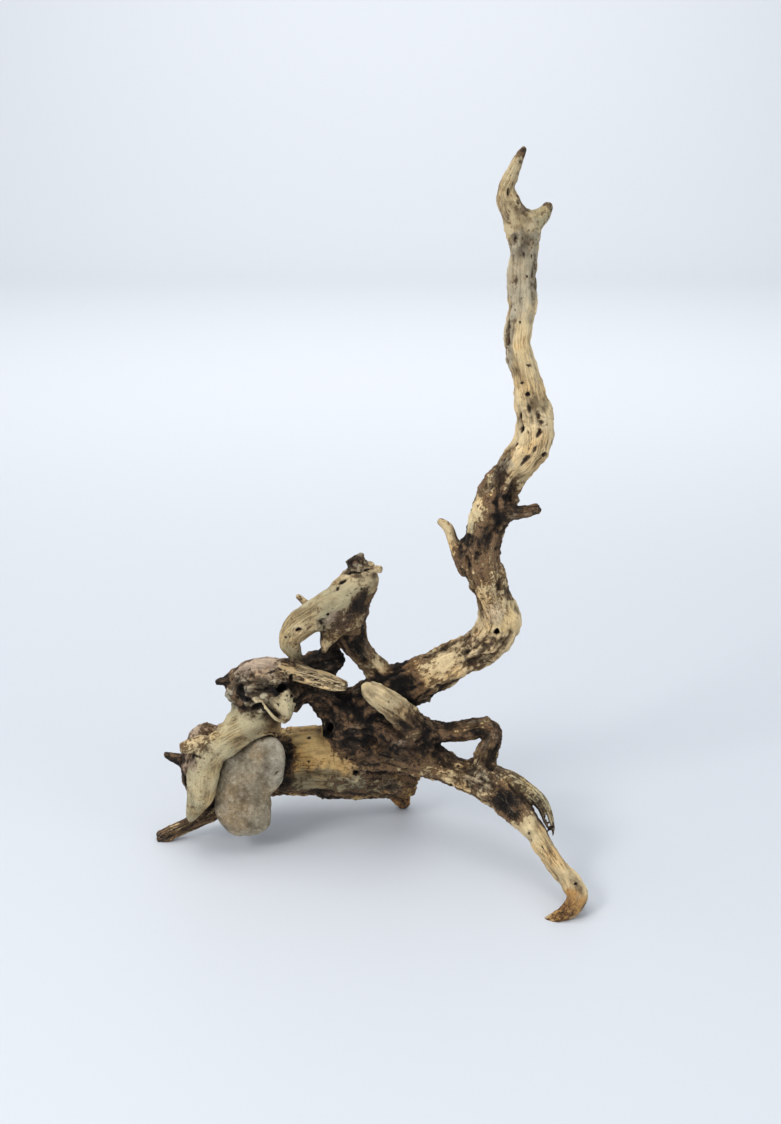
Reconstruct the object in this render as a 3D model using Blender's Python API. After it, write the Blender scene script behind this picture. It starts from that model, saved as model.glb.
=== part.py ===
"""A dry, weathered tree root that stands on three points and grips a flat river stone.

The root grew as one piece of wood, so it is one object. Each limb of it is laid out as a tapering tube
along a smooth curve; a voxel remesh then fuses the tubes into one skin, as the wood itself is one.
The stone is an object of its own, seated in a socket that is cut from the root with a small gap all round.
Units: limb sizes are in millimetres, and MM turns them into Blender's metres.
Frame: +Z up, +X along the tall stem's side, -Y the side that the finger stub and the long leg face.
"""

from math import cos, pi, sin
from typing import NamedTuple

import bmesh
import bpy
from mathutils import Vector

MM = 0.001

STATION_STEP = 4.0        # spacing of the rings along a limb
RING_SIDES = 12           # corners of each ring
CAP_RINGS = 3             # rings that round off a limb's end
THINNEST = 1.7            # least radius of any limb's core, so that the skin stays whole
SKIN_VOXEL = 2.0          # grid of the skin that fuses the limbs
SKIN_SMOOTHING = 3        # passes that turn the forks' creases into fillets
ROOT_TRIANGLE_SHARE = 0.09
STONE_VOXEL = 2.0
STONE_SMOOTHING = 5
STONE_TRIANGLE_SHARE = 0.12
BROKEN_DOME = 0.35        # how far a snapped end bulges, as a share of its radius
STONE_GAP = 0.5           # space left between stone and wood
STONE_SQUASH = 0.42       # the stone's thickness as a share of its width
BAND_SQUASH = 0.8         # the lip that laps over the stone is flatter than round
FACING = Vector((-0.1, -1.0, 0.15)).normalized()   # outward direction of the stone's broad face
FLOOR_BLOCK = 400.0       # side of the block that trims the feet flat at Z = 0


class Limb(NamedTuple):
    """One tapering limb: its stations are (x, y, z, radius), from its thick end to its tip."""

    name: str
    stations: list
    squash: float = 1.0
    blunt: bool = False


ROOT_LIMBS = [
    Limb("main_stem", [
        (-10, 50, 85, 19.2), (11, 46, 104, 18.3), (31, 42, 118, 17.4), (50, 39, 129, 15.2),
        (70, 36, 142, 13.6), (87, 32, 154, 14.2), (97, 28, 172, 14.8), (93, 25, 190, 13),
        (87, 22, 207, 12.9), (82, 20, 224, 13.4), (84, 20, 240, 13.1), (89, 20, 256, 13.7),
        (94, 20, 272, 11.9), (104, 19, 288, 12.2), (115, 18, 302, 12.8), (117, 16, 317, 12.4),
        (113, 14, 334, 10.6), (108, 12, 353, 9.1), (103, 12, 371, 8.4), (104, 14, 386, 8.6),
        (106, 16, 400, 9), (106, 17, 419, 8.6), (106, 17, 435, 8.5), (104, 16, 447, 9.6),
        (97, 13, 459, 8), (93, 10, 469, 6.3), (96, 7, 479, 4.8), (100, 5, 489, 3.5),
        (103, 4, 495, 2.2),
    ]),
    Limb("fork_prong", [
        (106, 17, 441, 7.7), (112, 19, 449, 6.1), (118, 21, 454, 5.1), (121, 23, 458, 3.9),
    ]),
    Limb("stem_spur", [
        (91, 18, 256, 9.6), (101, 10, 257, 5.4), (110, 4, 260, 4), (118, 0, 263, 3.5),
    ], blunt=True),
    Limb("side_twig", [
        (75, 22, 216, 7.6), (67, 24, 224, 4.5), (63, 27, 233, 3.6), (60, 29, 241, 3.5),
        (55, 30, 245, 2.5),
    ]),
    Limb("right_leg", [
        (6, 48, 70, 20.7), (28, 40, 69, 17.6), (49, 30, 64, 13.1), (65, 20, 60, 10.9),
        (81, 8, 60, 12.9), (96, -6, 59, 13.4), (107, -18, 52, 10.5), (118, -30, 41, 7.7),
        (127, -42, 32, 6.6), (135, -54, 23, 6.3), (143, -65, 17, 6.8), (146, -74, 11, 7.7),
        (140, -80, 6, 6), (132, -82, 2, 4.4), (125, -80, -2, 2.4),
    ]),
    Limb("leg_loop", [
        (36, 36, 80, 11), (49, 32, 85, 8.7), (63, 27, 88, 7.2), (77, 23, 92, 7.6), (88, 20, 95, 7.6),
        (93, 18, 90, 7.2), (91, 15, 81, 7.6), (88, 10, 75, 7.9), (85, 5, 68, 6.4),
    ]),
    Limb("finger_stub", [
        (44, 29, 85, 9.4), (34, 20, 99, 9), (24, 10, 112, 8.5), (13, 2, 125, 8), (6, -2, 132, 6.7),
    ]),
    Limb("hand_strut", [
        (25, 44, 110, 10.9), (13, 43, 125, 8.4), (2, 41, 140, 8.3), (-7, 38, 154, 9.3),
        (-9, 37, 169, 10.7), (-6, 36, 183, 11), (-1, 33, 197, 10.2), (0, 30, 206, 8.1),
    ]),
    Limb("hand_palm", [
        (3, 27, 202, 7.3), (-8, 22, 197, 8.7), (-21, 18, 191, 9), (-33, 16, 183, 9.2),
        (-45, 16, 174, 9.2), (-51, 18, 163, 7.6), (-49, 20, 155, 5.9), (-45, 22, 148, 2.8),
    ]),
    Limb("palm_web", [
        (-12, 28, 184, 12.7), (-18, 25, 174, 9.5), (-23, 24, 164, 6.3), (-26, 23, 157, 3.5),
        (-27, 23, 152, 1.8),
    ]),
    Limb("palm_heel", [
        (-13, 24, 190, 9.1), (-24, 22, 181, 8.8), (-34, 21, 175, 7), (-42, 20, 169, 6.3),
    ]),
    Limb("crown_knob", [(-3, 28, 207, 7.3), (-4, 29, 214, 6.6), (-5, 29, 218, 5.7)], blunt=True),
    Limb("crown_ledge", [(0, 27, 204, 7.7), (-9, 24, 204, 6.3), (-16, 22, 202, 3.8)]),
    Limb("crown_spur", [(0, 27, 209, 4.9), (7, 23, 213, 3.2), (13, 20, 214, 2.5)], blunt=True),
    Limb("back_twig", [(-33, 28, 178, 4.9), (-40, 32, 185, 2.8), (-45, 34, 189, 2)]),
    Limb("dark_strut", [
        (-10, 42, 162, 7.9), (-23, 46, 148, 5.8), (-26, 50, 131, 7), (-35, 50, 114, 10.2),
    ]),
    Limb("dark_arch", [
        (-20, 46, 136, 7.2), (-32, 44, 134, 8), (-44, 40, 132, 7.9), (-55, 36, 131, 8.6),
    ]),
    Limb("frayed_stick", [
        (-53, 20, 140, 6), (-42, 13, 139, 5.6), (-29, 7, 138, 5.3), (-19, 3, 136, 4.6),
        (-12, 1, 135, 3.5),
    ], blunt=True),
    Limb("head_core", [
        (-89, 34, 119, 9.4), (-79, 30, 119, 16.5), (-68, 27, 121, 17.9), (-58, 26, 122, 12.2),
    ]),
    Limb("head_brow", [
        (-90, 35, 128, 5.4), (-83, 32, 133, 7.2), (-72, 29, 136, 8.6), (-59, 26, 136, 7.8),
        (-51, 24, 136, 5.7),
    ]),
    Limb("head_spike", [(-90, 34, 125, 7.9), (-98, 34, 125, 4.3), (-104, 34, 124, 2.6)]),
    Limb("head_rim", [
        (-75, 9, 120, 1.7), (-70, 6, 119, 1.7), (-65, 4, 114, 1.8), (-61, 4, 108, 1.8),
        (-55, 7, 104, 1.7),
    ]),
    Limb("head_jaw", [
        (-66, 22, 126, 10), (-57, 14, 118, 7.8), (-54, 11, 110, 5), (-54, 10, 105, 2.5),
    ], blunt=True),
    Limb("neck", [(-75, 28, 108, 15.8), (-80, 24, 97, 15.8), (-91, 18, 88, 12.9)]),
    Limb("neck_band", [
        (-67, 18, 95, 8.2), (-74, 14, 97, 7.8), (-83, 11, 95, 8.9), (-95, 7, 90, 9.9),
        (-107, 5, 81, 10.7), (-113, 3, 69, 11.7), (-115, 2, 55, 10.3), (-119, 6, 42, 7.9),
        (-124, 12, 29, 4.4), (-126, 16, 22, 1.9),
    ], squash=BAND_SQUASH),
    Limb("band_back", [
        (-114, 22, 82, 11.5), (-119, 22, 68, 11.6), (-121, 22, 52, 9.5), (-117, 22, 39, 7.3),
    ]),
    Limb("band_knob", [(-114, 6, 88, 6.4), (-122, 2, 88, 5.2), (-127, 0, 88, 3.7)], blunt=True),
    Limb("band_fold", [
        (-90, 14, 96, 4.3), (-100, 8, 94, 4.6), (-109, 2, 89, 4.2), (-115, -1, 82, 3.5),
    ]),
    Limb("band_crest", [(-101, 22, 85, 7.2), (-113, 22, 88, 6.1), (-118, 20, 87, 4.3)]),
    Limb("crest_thorn", [(-111, 22, 90, 2.9), (-111, 22, 94, 1.7), (-112, 22, 96, 0.9)]),
    Limb("black_spur", [
        (-121, 26, 64, 5.8), (-132, 28, 65, 4.4), (-139, 30, 66, 3.6), (-143, 30, 68, 2.5),
    ]),
    Limb("left_foot", [
        (-84, 44, 41, 9.7), (-100, 36, 29, 9.6), (-115, 31, 19, 6.1), (-130, 29, 12, 5.3),
        (-142, 28, 6, 5.2), (-150, 29, 1, 5),
    ], blunt=True),
    Limb("bridge", [(-54, 28, 113, 9.3), (-43, 40, 114, 8.7), (-30, 48, 106, 9.5), (-15, 50, 92, 14)]),
    Limb("stump", [
        (-111, 32, 61, 13.2), (-93, 46, 52, 19.3), (-72, 54, 49, 23.2), (-48, 56, 52, 24.7),
        (-25, 58, 51, 25.5), (-3, 60, 48, 25.6), (17, 64, 43, 22.7), (29, 68, 34, 16.7),
    ], blunt=True),
    Limb("collar", [(-13, 50, 79, 15.5), (-6, 48, 86, 19.9), (8, 46, 87, 20.6), (24, 44, 82, 19.1)]),
    Limb("collar_ridge", [
        (-8, 36, 63, 6.6), (7, 30, 70, 5.8), (21, 27, 73, 5.8), (36, 26, 71, 6.5), (50, 24, 67, 6.5),
    ]),
    Limb("collar_lump", [(18, 26, 85, 6.5), (26, 23, 82, 6.5), (34, 24, 80, 5.8)]),
    Limb("root_lobe_left", [(-39, 54, 39, 12), (-25, 52, 32, 9.8), (-15, 52, 29, 6)]),
    Limb("root_lobe_mid", [(-9, 58, 37, 12), (2, 58, 29, 8.3), (9, 58, 26, 6)]),
    Limb("root_lobe_right", [
        (17, 64, 34, 12.9), (25, 70, 21, 8.8), (29, 77, 9, 5.8), (30, 82, 0, 3.9),
    ]),
    Limb("root_fray", [(27, 66, 32, 7.6), (35, 66, 28, 3.8), (38, 64, 29, 2.3)], blunt=True),
    Limb("root_fray_low", [(27, 68, 24, 6.9), (35, 68, 20, 4.2), (37, 68, 17, 2.3)], blunt=True),
    Limb("shred_outer", [
        (97, -4, 68, 6.4), (110, -10, 66, 4.9), (120, -16, 62, 3.5), (127, -22, 57, 2.8),
        (131, -28, 50, 2.1), (133, -32, 42, 1.5), (133, -34, 37, 0.8),
    ]),
    Limb("shred_inner", [
        (111, -12, 62, 4.2), (118, -18, 58, 2.5), (124, -24, 53, 2), (127, -29, 47, 1.5),
        (130, -33, 41, 1),
    ]),
]

STONE_LIMBS = [
    Limb("cobble", [(-78, 10, 70, 22.2), (-82, 10, 56, 20.5), (-85, 10, 42, 20.2)], squash=STONE_SQUASH),
    Limb("cobble_shoulder", [(-78, 10, 70, 19.3), (-68, 10, 80, 12.8)], squash=STONE_SQUASH),
    Limb("cobble_heel", [(-86, 10, 40, 18), (-93, 10, 27, 13)], squash=STONE_SQUASH),
    Limb("cobble_toe", [(-85, 10, 39, 18), (-77, 10, 26, 11.6)], squash=STONE_SQUASH),
]


def catmull_rom(before, start, end, after, share):
    """A point between start and end on the smooth curve through all four values."""
    bend = 2 * before - 5 * start + 4 * end - after
    twist = 3 * (start - end) + after - before
    return 0.5 * (2 * start + (end - before) * share + bend * share**2 + twist * share**3)


def rings_along(limb):
    """The limb's ring centres and radii, evenly spaced on a smooth curve through its stations."""
    centres = [Vector(station[:3]) for station in limb.stations]
    radii = [station[3] for station in limb.stations]
    centres = [2 * centres[0] - centres[1], *centres, 2 * centres[-1] - centres[-2]]
    radii = [radii[0], *radii, radii[-1]]
    rings = []
    for i in range(1, len(centres) - 2):
        steps = max(1, round((centres[i + 1] - centres[i]).length / STATION_STEP))
        for step in range(steps):
            share = step / steps
            centre = catmull_rom(*centres[i - 1 : i + 3], share)
            radius = catmull_rom(*radii[i - 1 : i + 3], share)
            rings.append((centre, max(THINNEST, radius)))
    rings.append((centres[-2], max(THINNEST, radii[-2])))
    return rings


def ring_of_corners(bm, centre, along, radius, squash):
    """One ring across the limb, squashed along the stone's facing direction where squash is under 1."""
    side = along.cross(FACING).normalized()
    outward = side.cross(along).normalized()
    turn = 2 * pi / RING_SIDES
    return [
        bm.verts.new(
            MM * (centre + radius * (cos(k * turn) * side + squash * sin(k * turn) * outward))
        )
        for k in range(RING_SIDES)
    ]


def add_limb(bm, limb):
    """Adds the limb to bm as one closed tube with domed ends, or nearly flat ones where it broke off."""
    rings = rings_along(limb)
    dome = BROKEN_DOME if limb.blunt else 1.0
    (root_centre, root_radius), (tip_centre, tip_radius) = rings[0], rings[-1]
    root_way = (rings[0][0] - rings[1][0]).normalized()
    tip_way = (rings[-1][0] - rings[-2][0]).normalized()
    corners = []
    cap_angles = [k / (CAP_RINGS + 1) * pi / 2 for k in range(CAP_RINGS, 0, -1)]
    for angle in cap_angles:
        centre = root_centre + root_way * root_radius * sin(angle)
        corners.append(ring_of_corners(bm, centre, -root_way, root_radius * cos(angle), limb.squash))
    for i, (centre, radius) in enumerate(rings):
        along = rings[min(i + 1, len(rings) - 1)][0] - rings[max(i - 1, 0)][0]
        corners.append(ring_of_corners(bm, centre, along.normalized(), radius, limb.squash))
    for angle in reversed(cap_angles):
        centre = tip_centre + tip_way * tip_radius * dome * sin(angle)
        corners.append(ring_of_corners(bm, centre, tip_way, tip_radius * cos(angle), limb.squash))
    for lower, upper in zip(corners, corners[1:]):
        for k in range(RING_SIDES):
            following = (k + 1) % RING_SIDES
            bm.faces.new((lower[k], lower[following], upper[following], upper[k]))
    bm.faces.new(reversed(corners[0]))
    bm.faces.new(corners[-1])


def limbs_mesh(name, limbs):
    """A mesh that holds every limb's closed tube, ready for a remesh to fuse."""
    bm = bmesh.new()
    for limb in limbs:
        add_limb(bm, limb)
    bmesh.ops.recalc_face_normals(bm, faces=bm.faces)
    mesh = bpy.data.meshes.new(name)
    bm.to_mesh(mesh)
    bm.free()
    return mesh


def fuse(obj, voxel, smoothing, triangle_share):
    """Fuses the tubes into one smooth skin and thins it to the given share of its triangles."""
    remesh = obj.modifiers.new("one_skin", "REMESH")
    remesh.mode = "VOXEL"
    remesh.voxel_size = voxel * MM
    remesh.use_smooth_shade = True
    smooth = obj.modifiers.new("fillets", "SMOOTH")
    smooth.iterations = smoothing
    thin = obj.modifiers.new("fewer_triangles", "DECIMATE")
    thin.ratio = triangle_share


def add_object(name, mesh):
    """An object that holds the mesh, in the scene."""
    obj = bpy.data.objects.new(name, mesh)
    bpy.context.scene.collection.objects.link(obj)
    return obj


def as_cutter(obj):
    """Keeps a cutting shape out of the model itself."""
    obj.hide_render = True
    obj.display_type = "WIRE"
    return obj


def cut(obj, cutter, name):
    """Takes the cutter's shape out of the object."""
    boolean = obj.modifiers.new(name, "BOOLEAN")
    boolean.operation = "DIFFERENCE"
    boolean.object = cutter


def finish_of(name, colour, roughness):
    """A plain Principled material in the part's own colour."""
    material = bpy.data.materials.new(name)
    material.use_nodes = True
    shader = material.node_tree.nodes["Principled BSDF"]
    shader.inputs["Base Color"].default_value = (*colour, 1.0)
    shader.inputs["Roughness"].default_value = roughness
    shader.inputs["Metallic"].default_value = 0.0
    return material


def build_stone():
    """The flat river stone, and the slightly larger copy of it that cuts its socket."""
    mesh = limbs_mesh("river_stone", STONE_LIMBS)
    mesh.materials.append(finish_of("river_stone", (0.36, 0.33, 0.27), 0.9))
    stone = add_object("river_stone", mesh)
    socket = as_cutter(add_object("stone_socket", mesh))
    for obj in (stone, socket):
        fuse(obj, STONE_VOXEL, STONE_SMOOTHING, STONE_TRIANGLE_SHARE)
    grow = socket.modifiers.new("gap", "DISPLACE")
    grow.mid_level = 0.0
    grow.strength = STONE_GAP * MM
    return socket


def build_floor_block():
    """A block below Z = 0 that trims each foot to the small flat face it stands on."""
    bm = bmesh.new()
    bmesh.ops.create_cube(bm, size=FLOOR_BLOCK * MM)
    bmesh.ops.translate(bm, verts=bm.verts, vec=(0, 0, -FLOOR_BLOCK * MM / 2))
    mesh = bpy.data.meshes.new("floor_block")
    bm.to_mesh(mesh)
    bm.free()
    return as_cutter(add_object("floor_block", mesh))


def build_root(socket, floor_block):
    """The root itself: every limb fused into one skin, seated on the stone and on the floor."""
    mesh = limbs_mesh("dry_root", ROOT_LIMBS)
    mesh.materials.append(finish_of("weathered_wood", (0.45, 0.34, 0.2), 0.85))
    root = add_object("dry_root", mesh)
    fuse(root, SKIN_VOXEL, SKIN_SMOOTHING, ROOT_TRIANGLE_SHARE)
    cut(root, socket, "stone_seat")
    cut(root, floor_block, "feet")


def main():
    for obj in list(bpy.data.objects):
        bpy.data.objects.remove(obj)
    build_root(build_stone(), build_floor_block())


main()
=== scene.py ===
"""The visual model of a dry, weathered tree root that stands on its feet and grips a flat river stone.

The wood is one skin. Each limb is a profile carried along a smooth curve through a few stations; on a fine
grid the signed distances to all the limbs are blended into one field, and the skin is where that field is
zero. The skin is then carved with grain, bark, knots, cracks and holes, and each of its points carries what
the wood finish reads: where it lies along the grain, how much bark is left, how hollow it is and its tone.
Lengths are in millimetres in the classes, and MM turns them into Blender's metres when a mesh is made.
Frame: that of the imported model, +Z up, +X towards the long leg's side, -Y towards the viewer's side.
"""

import logging
import math
from collections.abc import Sequence
from dataclasses import dataclass, field
from enum import Enum

import bmesh
import bpy
import numpy as np
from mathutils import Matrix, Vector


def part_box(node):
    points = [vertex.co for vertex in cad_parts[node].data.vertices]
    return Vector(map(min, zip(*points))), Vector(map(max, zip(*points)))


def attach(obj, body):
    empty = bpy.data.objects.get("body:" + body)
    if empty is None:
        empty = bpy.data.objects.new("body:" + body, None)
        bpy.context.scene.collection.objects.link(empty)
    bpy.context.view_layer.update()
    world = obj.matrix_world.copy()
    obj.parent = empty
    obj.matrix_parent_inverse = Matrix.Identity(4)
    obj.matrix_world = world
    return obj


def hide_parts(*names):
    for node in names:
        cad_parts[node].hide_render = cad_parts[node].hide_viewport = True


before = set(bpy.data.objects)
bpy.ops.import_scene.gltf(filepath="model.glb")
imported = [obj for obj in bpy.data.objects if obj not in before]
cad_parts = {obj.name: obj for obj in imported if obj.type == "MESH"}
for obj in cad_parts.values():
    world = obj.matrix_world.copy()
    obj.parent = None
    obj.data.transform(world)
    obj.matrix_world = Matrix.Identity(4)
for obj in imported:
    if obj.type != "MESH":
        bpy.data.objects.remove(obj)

import openvdb
from mathutils import Vector

log = logging.getLogger("dry_root")

MM = 0.001
FACING = np.array([-0.1, -1.0, 0.15]) / math.sqrt(1.0325)  # outward from the stone's broad face
FLAT_FOOT = 0.0        # height of the floor that the feet are worn flat against

Triple = tuple[float, float, float]
Colour = tuple[float, float, float]


# ---------------------------------------------------------------- noise


class Noise:
    """Repeatable noise over points, worked out as whole arrays."""

    SLOPES = np.array(
        [[1, 1, 0], [-1, 1, 0], [1, -1, 0], [-1, -1, 0], [1, 0, 1], [-1, 0, 1],
         [1, 0, -1], [-1, 0, -1], [0, 1, 1], [0, -1, 1], [0, 1, -1], [0, -1, -1]],
        dtype=np.float32,
    )

    @staticmethod
    def key(cells: np.ndarray, seed: int) -> np.ndarray:
        """A whole number for each lattice cell: its coordinates times large primes, mixed by shifts.

        Args:
            cells: (n, 3) whole-number cell coordinates.
            seed: a different seed gives unrelated numbers.

        Returns:
            (n,) numbers from 0 to 2**31 - 1.
        """
        x, y, z = (cells[:, axis].astype(np.int64) for axis in range(3))
        mixed = (x * 73856093) ^ (y * 19349663) ^ (z * 83492791) ^ (seed * 265443577)
        mixed = (mixed ^ (mixed >> 13)) * 1274126177 & 0x7FFFFFFFFFFF
        return (mixed ^ (mixed >> 16)) & 0x7FFFFFFF

    @classmethod
    def smooth(cls, points: np.ndarray, seed: int) -> np.ndarray:
        """Gradient noise: at each point, the eight lattice corners' slopes, blended by a quintic fade.

        Args:
            points: (n, 3) places, where one unit is one lattice cell.
            seed: which of the endless noises.

        Returns:
            (n,) values, nearly all from -1 to 1.
        """
        base = np.floor(points)
        inside = (points - base).astype(np.float32)
        fade = inside**3 * (inside * (inside * 6 - 15) + 10)
        total = np.zeros(len(points), np.float32)
        for corner in np.ndindex(2, 2, 2):
            slope = cls.SLOPES[cls.key(base + corner, seed) % len(cls.SLOPES)]
            lean = ((inside - np.array(corner, np.float32)) * slope).sum(axis=1)
            share = np.where(corner, fade, 1 - fade).prod(axis=1)
            total += share * lean
        return 1.3 * total

    @classmethod
    def layered(
        cls, points: np.ndarray, size: float | Triple, seed: int, layers: int = 3
    ) -> np.ndarray:
        """Layers of smooth noise, each half the size and half the height of the one before.

        Args:
            points: (n, 3) places in millimetres.
            size: size in millimetres of the largest features, alike or along each axis.
            seed: which noise.
            layers: how many layers.

        Returns:
            (n,) values, nearly all from -1 to 1.
        """
        scaled = points / np.asarray(size, dtype=np.float64)
        total = np.zeros(len(points), np.float32)
        for layer in range(layers):
            total += cls.smooth(scaled * 2**layer, seed + layer) * 0.5**layer
        return total

    @classmethod
    def creased(
        cls, points: np.ndarray, size: float | Triple, seed: int, layers: int = 3
    ) -> np.ndarray:
        """Sharp valleys between round ridges: the absolute value of layered noise, where 0 is a valley.

        Args:
            points: (n, 3) places in millimetres.
            size: size of the largest features.
            seed: which noise.
            layers: how many layers.

        Returns:
            (n,) values from 0 to about 1.
        """
        return np.abs(cls.layered(points, size, seed, layers))


def eased(value: np.ndarray, low: float, high: float) -> np.ndarray:
    """0 below low, 1 above high, and a smooth S-curve of 3t^2 - 2t^3 between them.

    Args:
        value: any array.
        low: where the curve leaves 0.
        high: where it reaches 1; it may be below low, which turns the curve round.

    Returns:
        An array of the same shape, from 0 to 1.
    """
    share = np.clip((value - low) / (high - low), 0, 1)
    return share * share * (3 - 2 * share)


def unit(vectors: np.ndarray) -> np.ndarray:
    """The vectors at length one."""
    return vectors / np.maximum(np.linalg.norm(vectors, axis=-1, keepdims=True), 1e-9)


# ---------------------------------------------------------------- what a limb is


class Surface(Enum):
    """How a limb's surface has weathered: its lumps, flutes, gnarls and splits, in millimetres."""

    SMOOTH = (0.90, 0.60, 0.20, 0.06)
    WEATHERED = (1.60, 1.20, 0.50, 0.26)
    BARK = (1.60, 1.60, 0.80, 0.35)
    GNARLED = (1.90, 1.00, 1.50, 0.35)
    KNOBBLY = (2.30, 0.90, 2.60, 0.25)
    FRAYED = (0.70, 1.80, 0.20, 1.00)


class Tone(Enum):
    """Colours of bare wood, as linear red, green and blue."""

    TAN = (0.68, 0.515, 0.285)
    CREAM = (0.62, 0.51, 0.30)
    GOLD = (0.68, 0.45, 0.18)
    OLIVE = (0.475, 0.40, 0.235)
    MOSS = (0.21, 0.185, 0.115)
    SILVER = (0.34, 0.30, 0.225)
    PINK = (0.47, 0.345, 0.245)
    OCHRE = (0.46, 0.235, 0.065)
    RUST = (0.15, 0.06, 0.03)


@dataclass(frozen=True)
class Limb:
    """One tapering limb of the root.

    Attributes:
        name: what it is.
        stations: (x, y, z, radius, bark) from its thick end to its tip; bark is 0 where bare, 1 where dark.
        surface: how it has weathered.
        tone: colour of its bare wood.
        squash: its thickness along FACING as a share of its width.
        broken: True where the tip snapped off, which leaves it nearly flat.
        fine: True for a thin piece that keeps a crisp join instead of a fillet.
    """

    name: str
    stations: Sequence[tuple[float, float, float, float, float]]
    surface: Surface = Surface.WEATHERED
    tone: Tone = Tone.TAN
    squash: float = 1.0
    broken: bool = False
    fine: bool = False

    THINNEST = 0.7

    def resampled(self, step: float) -> np.ndarray:
        """Stations close together on the Catmull-Rom curve through the limb's own.

        Args:
            step: largest distance between two of them.

        Returns:
            (n, 5) rows of x, y, z, radius and bark.
        """
        own = np.array(self.stations, dtype=np.float64)
        first, last = own[0].copy(), own[-1].copy()
        first[:3] = 2 * own[0, :3] - own[1, :3]
        last[:3] = 2 * own[-1, :3] - own[-2, :3]
        held = np.vstack([first, own, last])
        rows = []
        for before, start, end, after in zip(held, held[1:], held[2:], held[3:]):
            count = max(1, round(float(np.linalg.norm(end[:3] - start[:3])) / step))
            share = (np.arange(count) / count)[:, None]
            bend = 2 * before - 5 * start + 4 * end - after
            twist = 3 * (start - end) + after - before
            rows.append(0.5 * (2 * start + (end - before) * share + bend * share**2 + twist * share**3))
        rows.append(own[-1:])
        curve = np.vstack(rows)
        curve[:, 3] = np.maximum(curve[:, 3], self.THINNEST)
        curve[:, 4] = np.clip(curve[:, 4], 0, 1)
        return curve


@dataclass(frozen=True)
class Course:
    """A limb's curve with a frame that is carried along it without twisting.

    Attributes:
        limb: whose curve it is.
        centre: (n, 3) places on it.
        radius: (n,) radii.
        bark: (n,) shares of bark.
        arc: (n,) lengths along the curve.
        along: (n, 3) unit vectors along it.
        side: (n, 3) unit vectors across it.
        out: (n, 3) unit vectors across both.
    """

    limb: Limb
    centre: np.ndarray
    radius: np.ndarray
    bark: np.ndarray
    arc: np.ndarray
    along: np.ndarray
    side: np.ndarray
    out: np.ndarray

    @classmethod
    def of(cls, limb: Limb, step: float) -> "Course":
        """The course of a limb: each side vector is the last one, made square to the curve again.

        Args:
            limb: the limb.
            step: distance between its samples.

        Returns:
            The course.
        """
        rows = limb.resampled(step)
        centre = rows[:, :3]
        along = unit(np.gradient(centre, axis=0))
        side = np.empty_like(along)
        carried = np.cross(along[0], FACING)
        for i, way in enumerate(along):
            carried = unit(carried - (carried @ way) * way)
            side[i] = carried
        steps = np.linalg.norm(np.diff(centre, axis=0), axis=1)
        arc = np.concatenate([[0.0], np.cumsum(steps)])
        return cls(limb, centre, rows[:, 3], rows[:, 4], arc, along, side, np.cross(side, along))


# ---------------------------------------------------------------- the field


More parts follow.
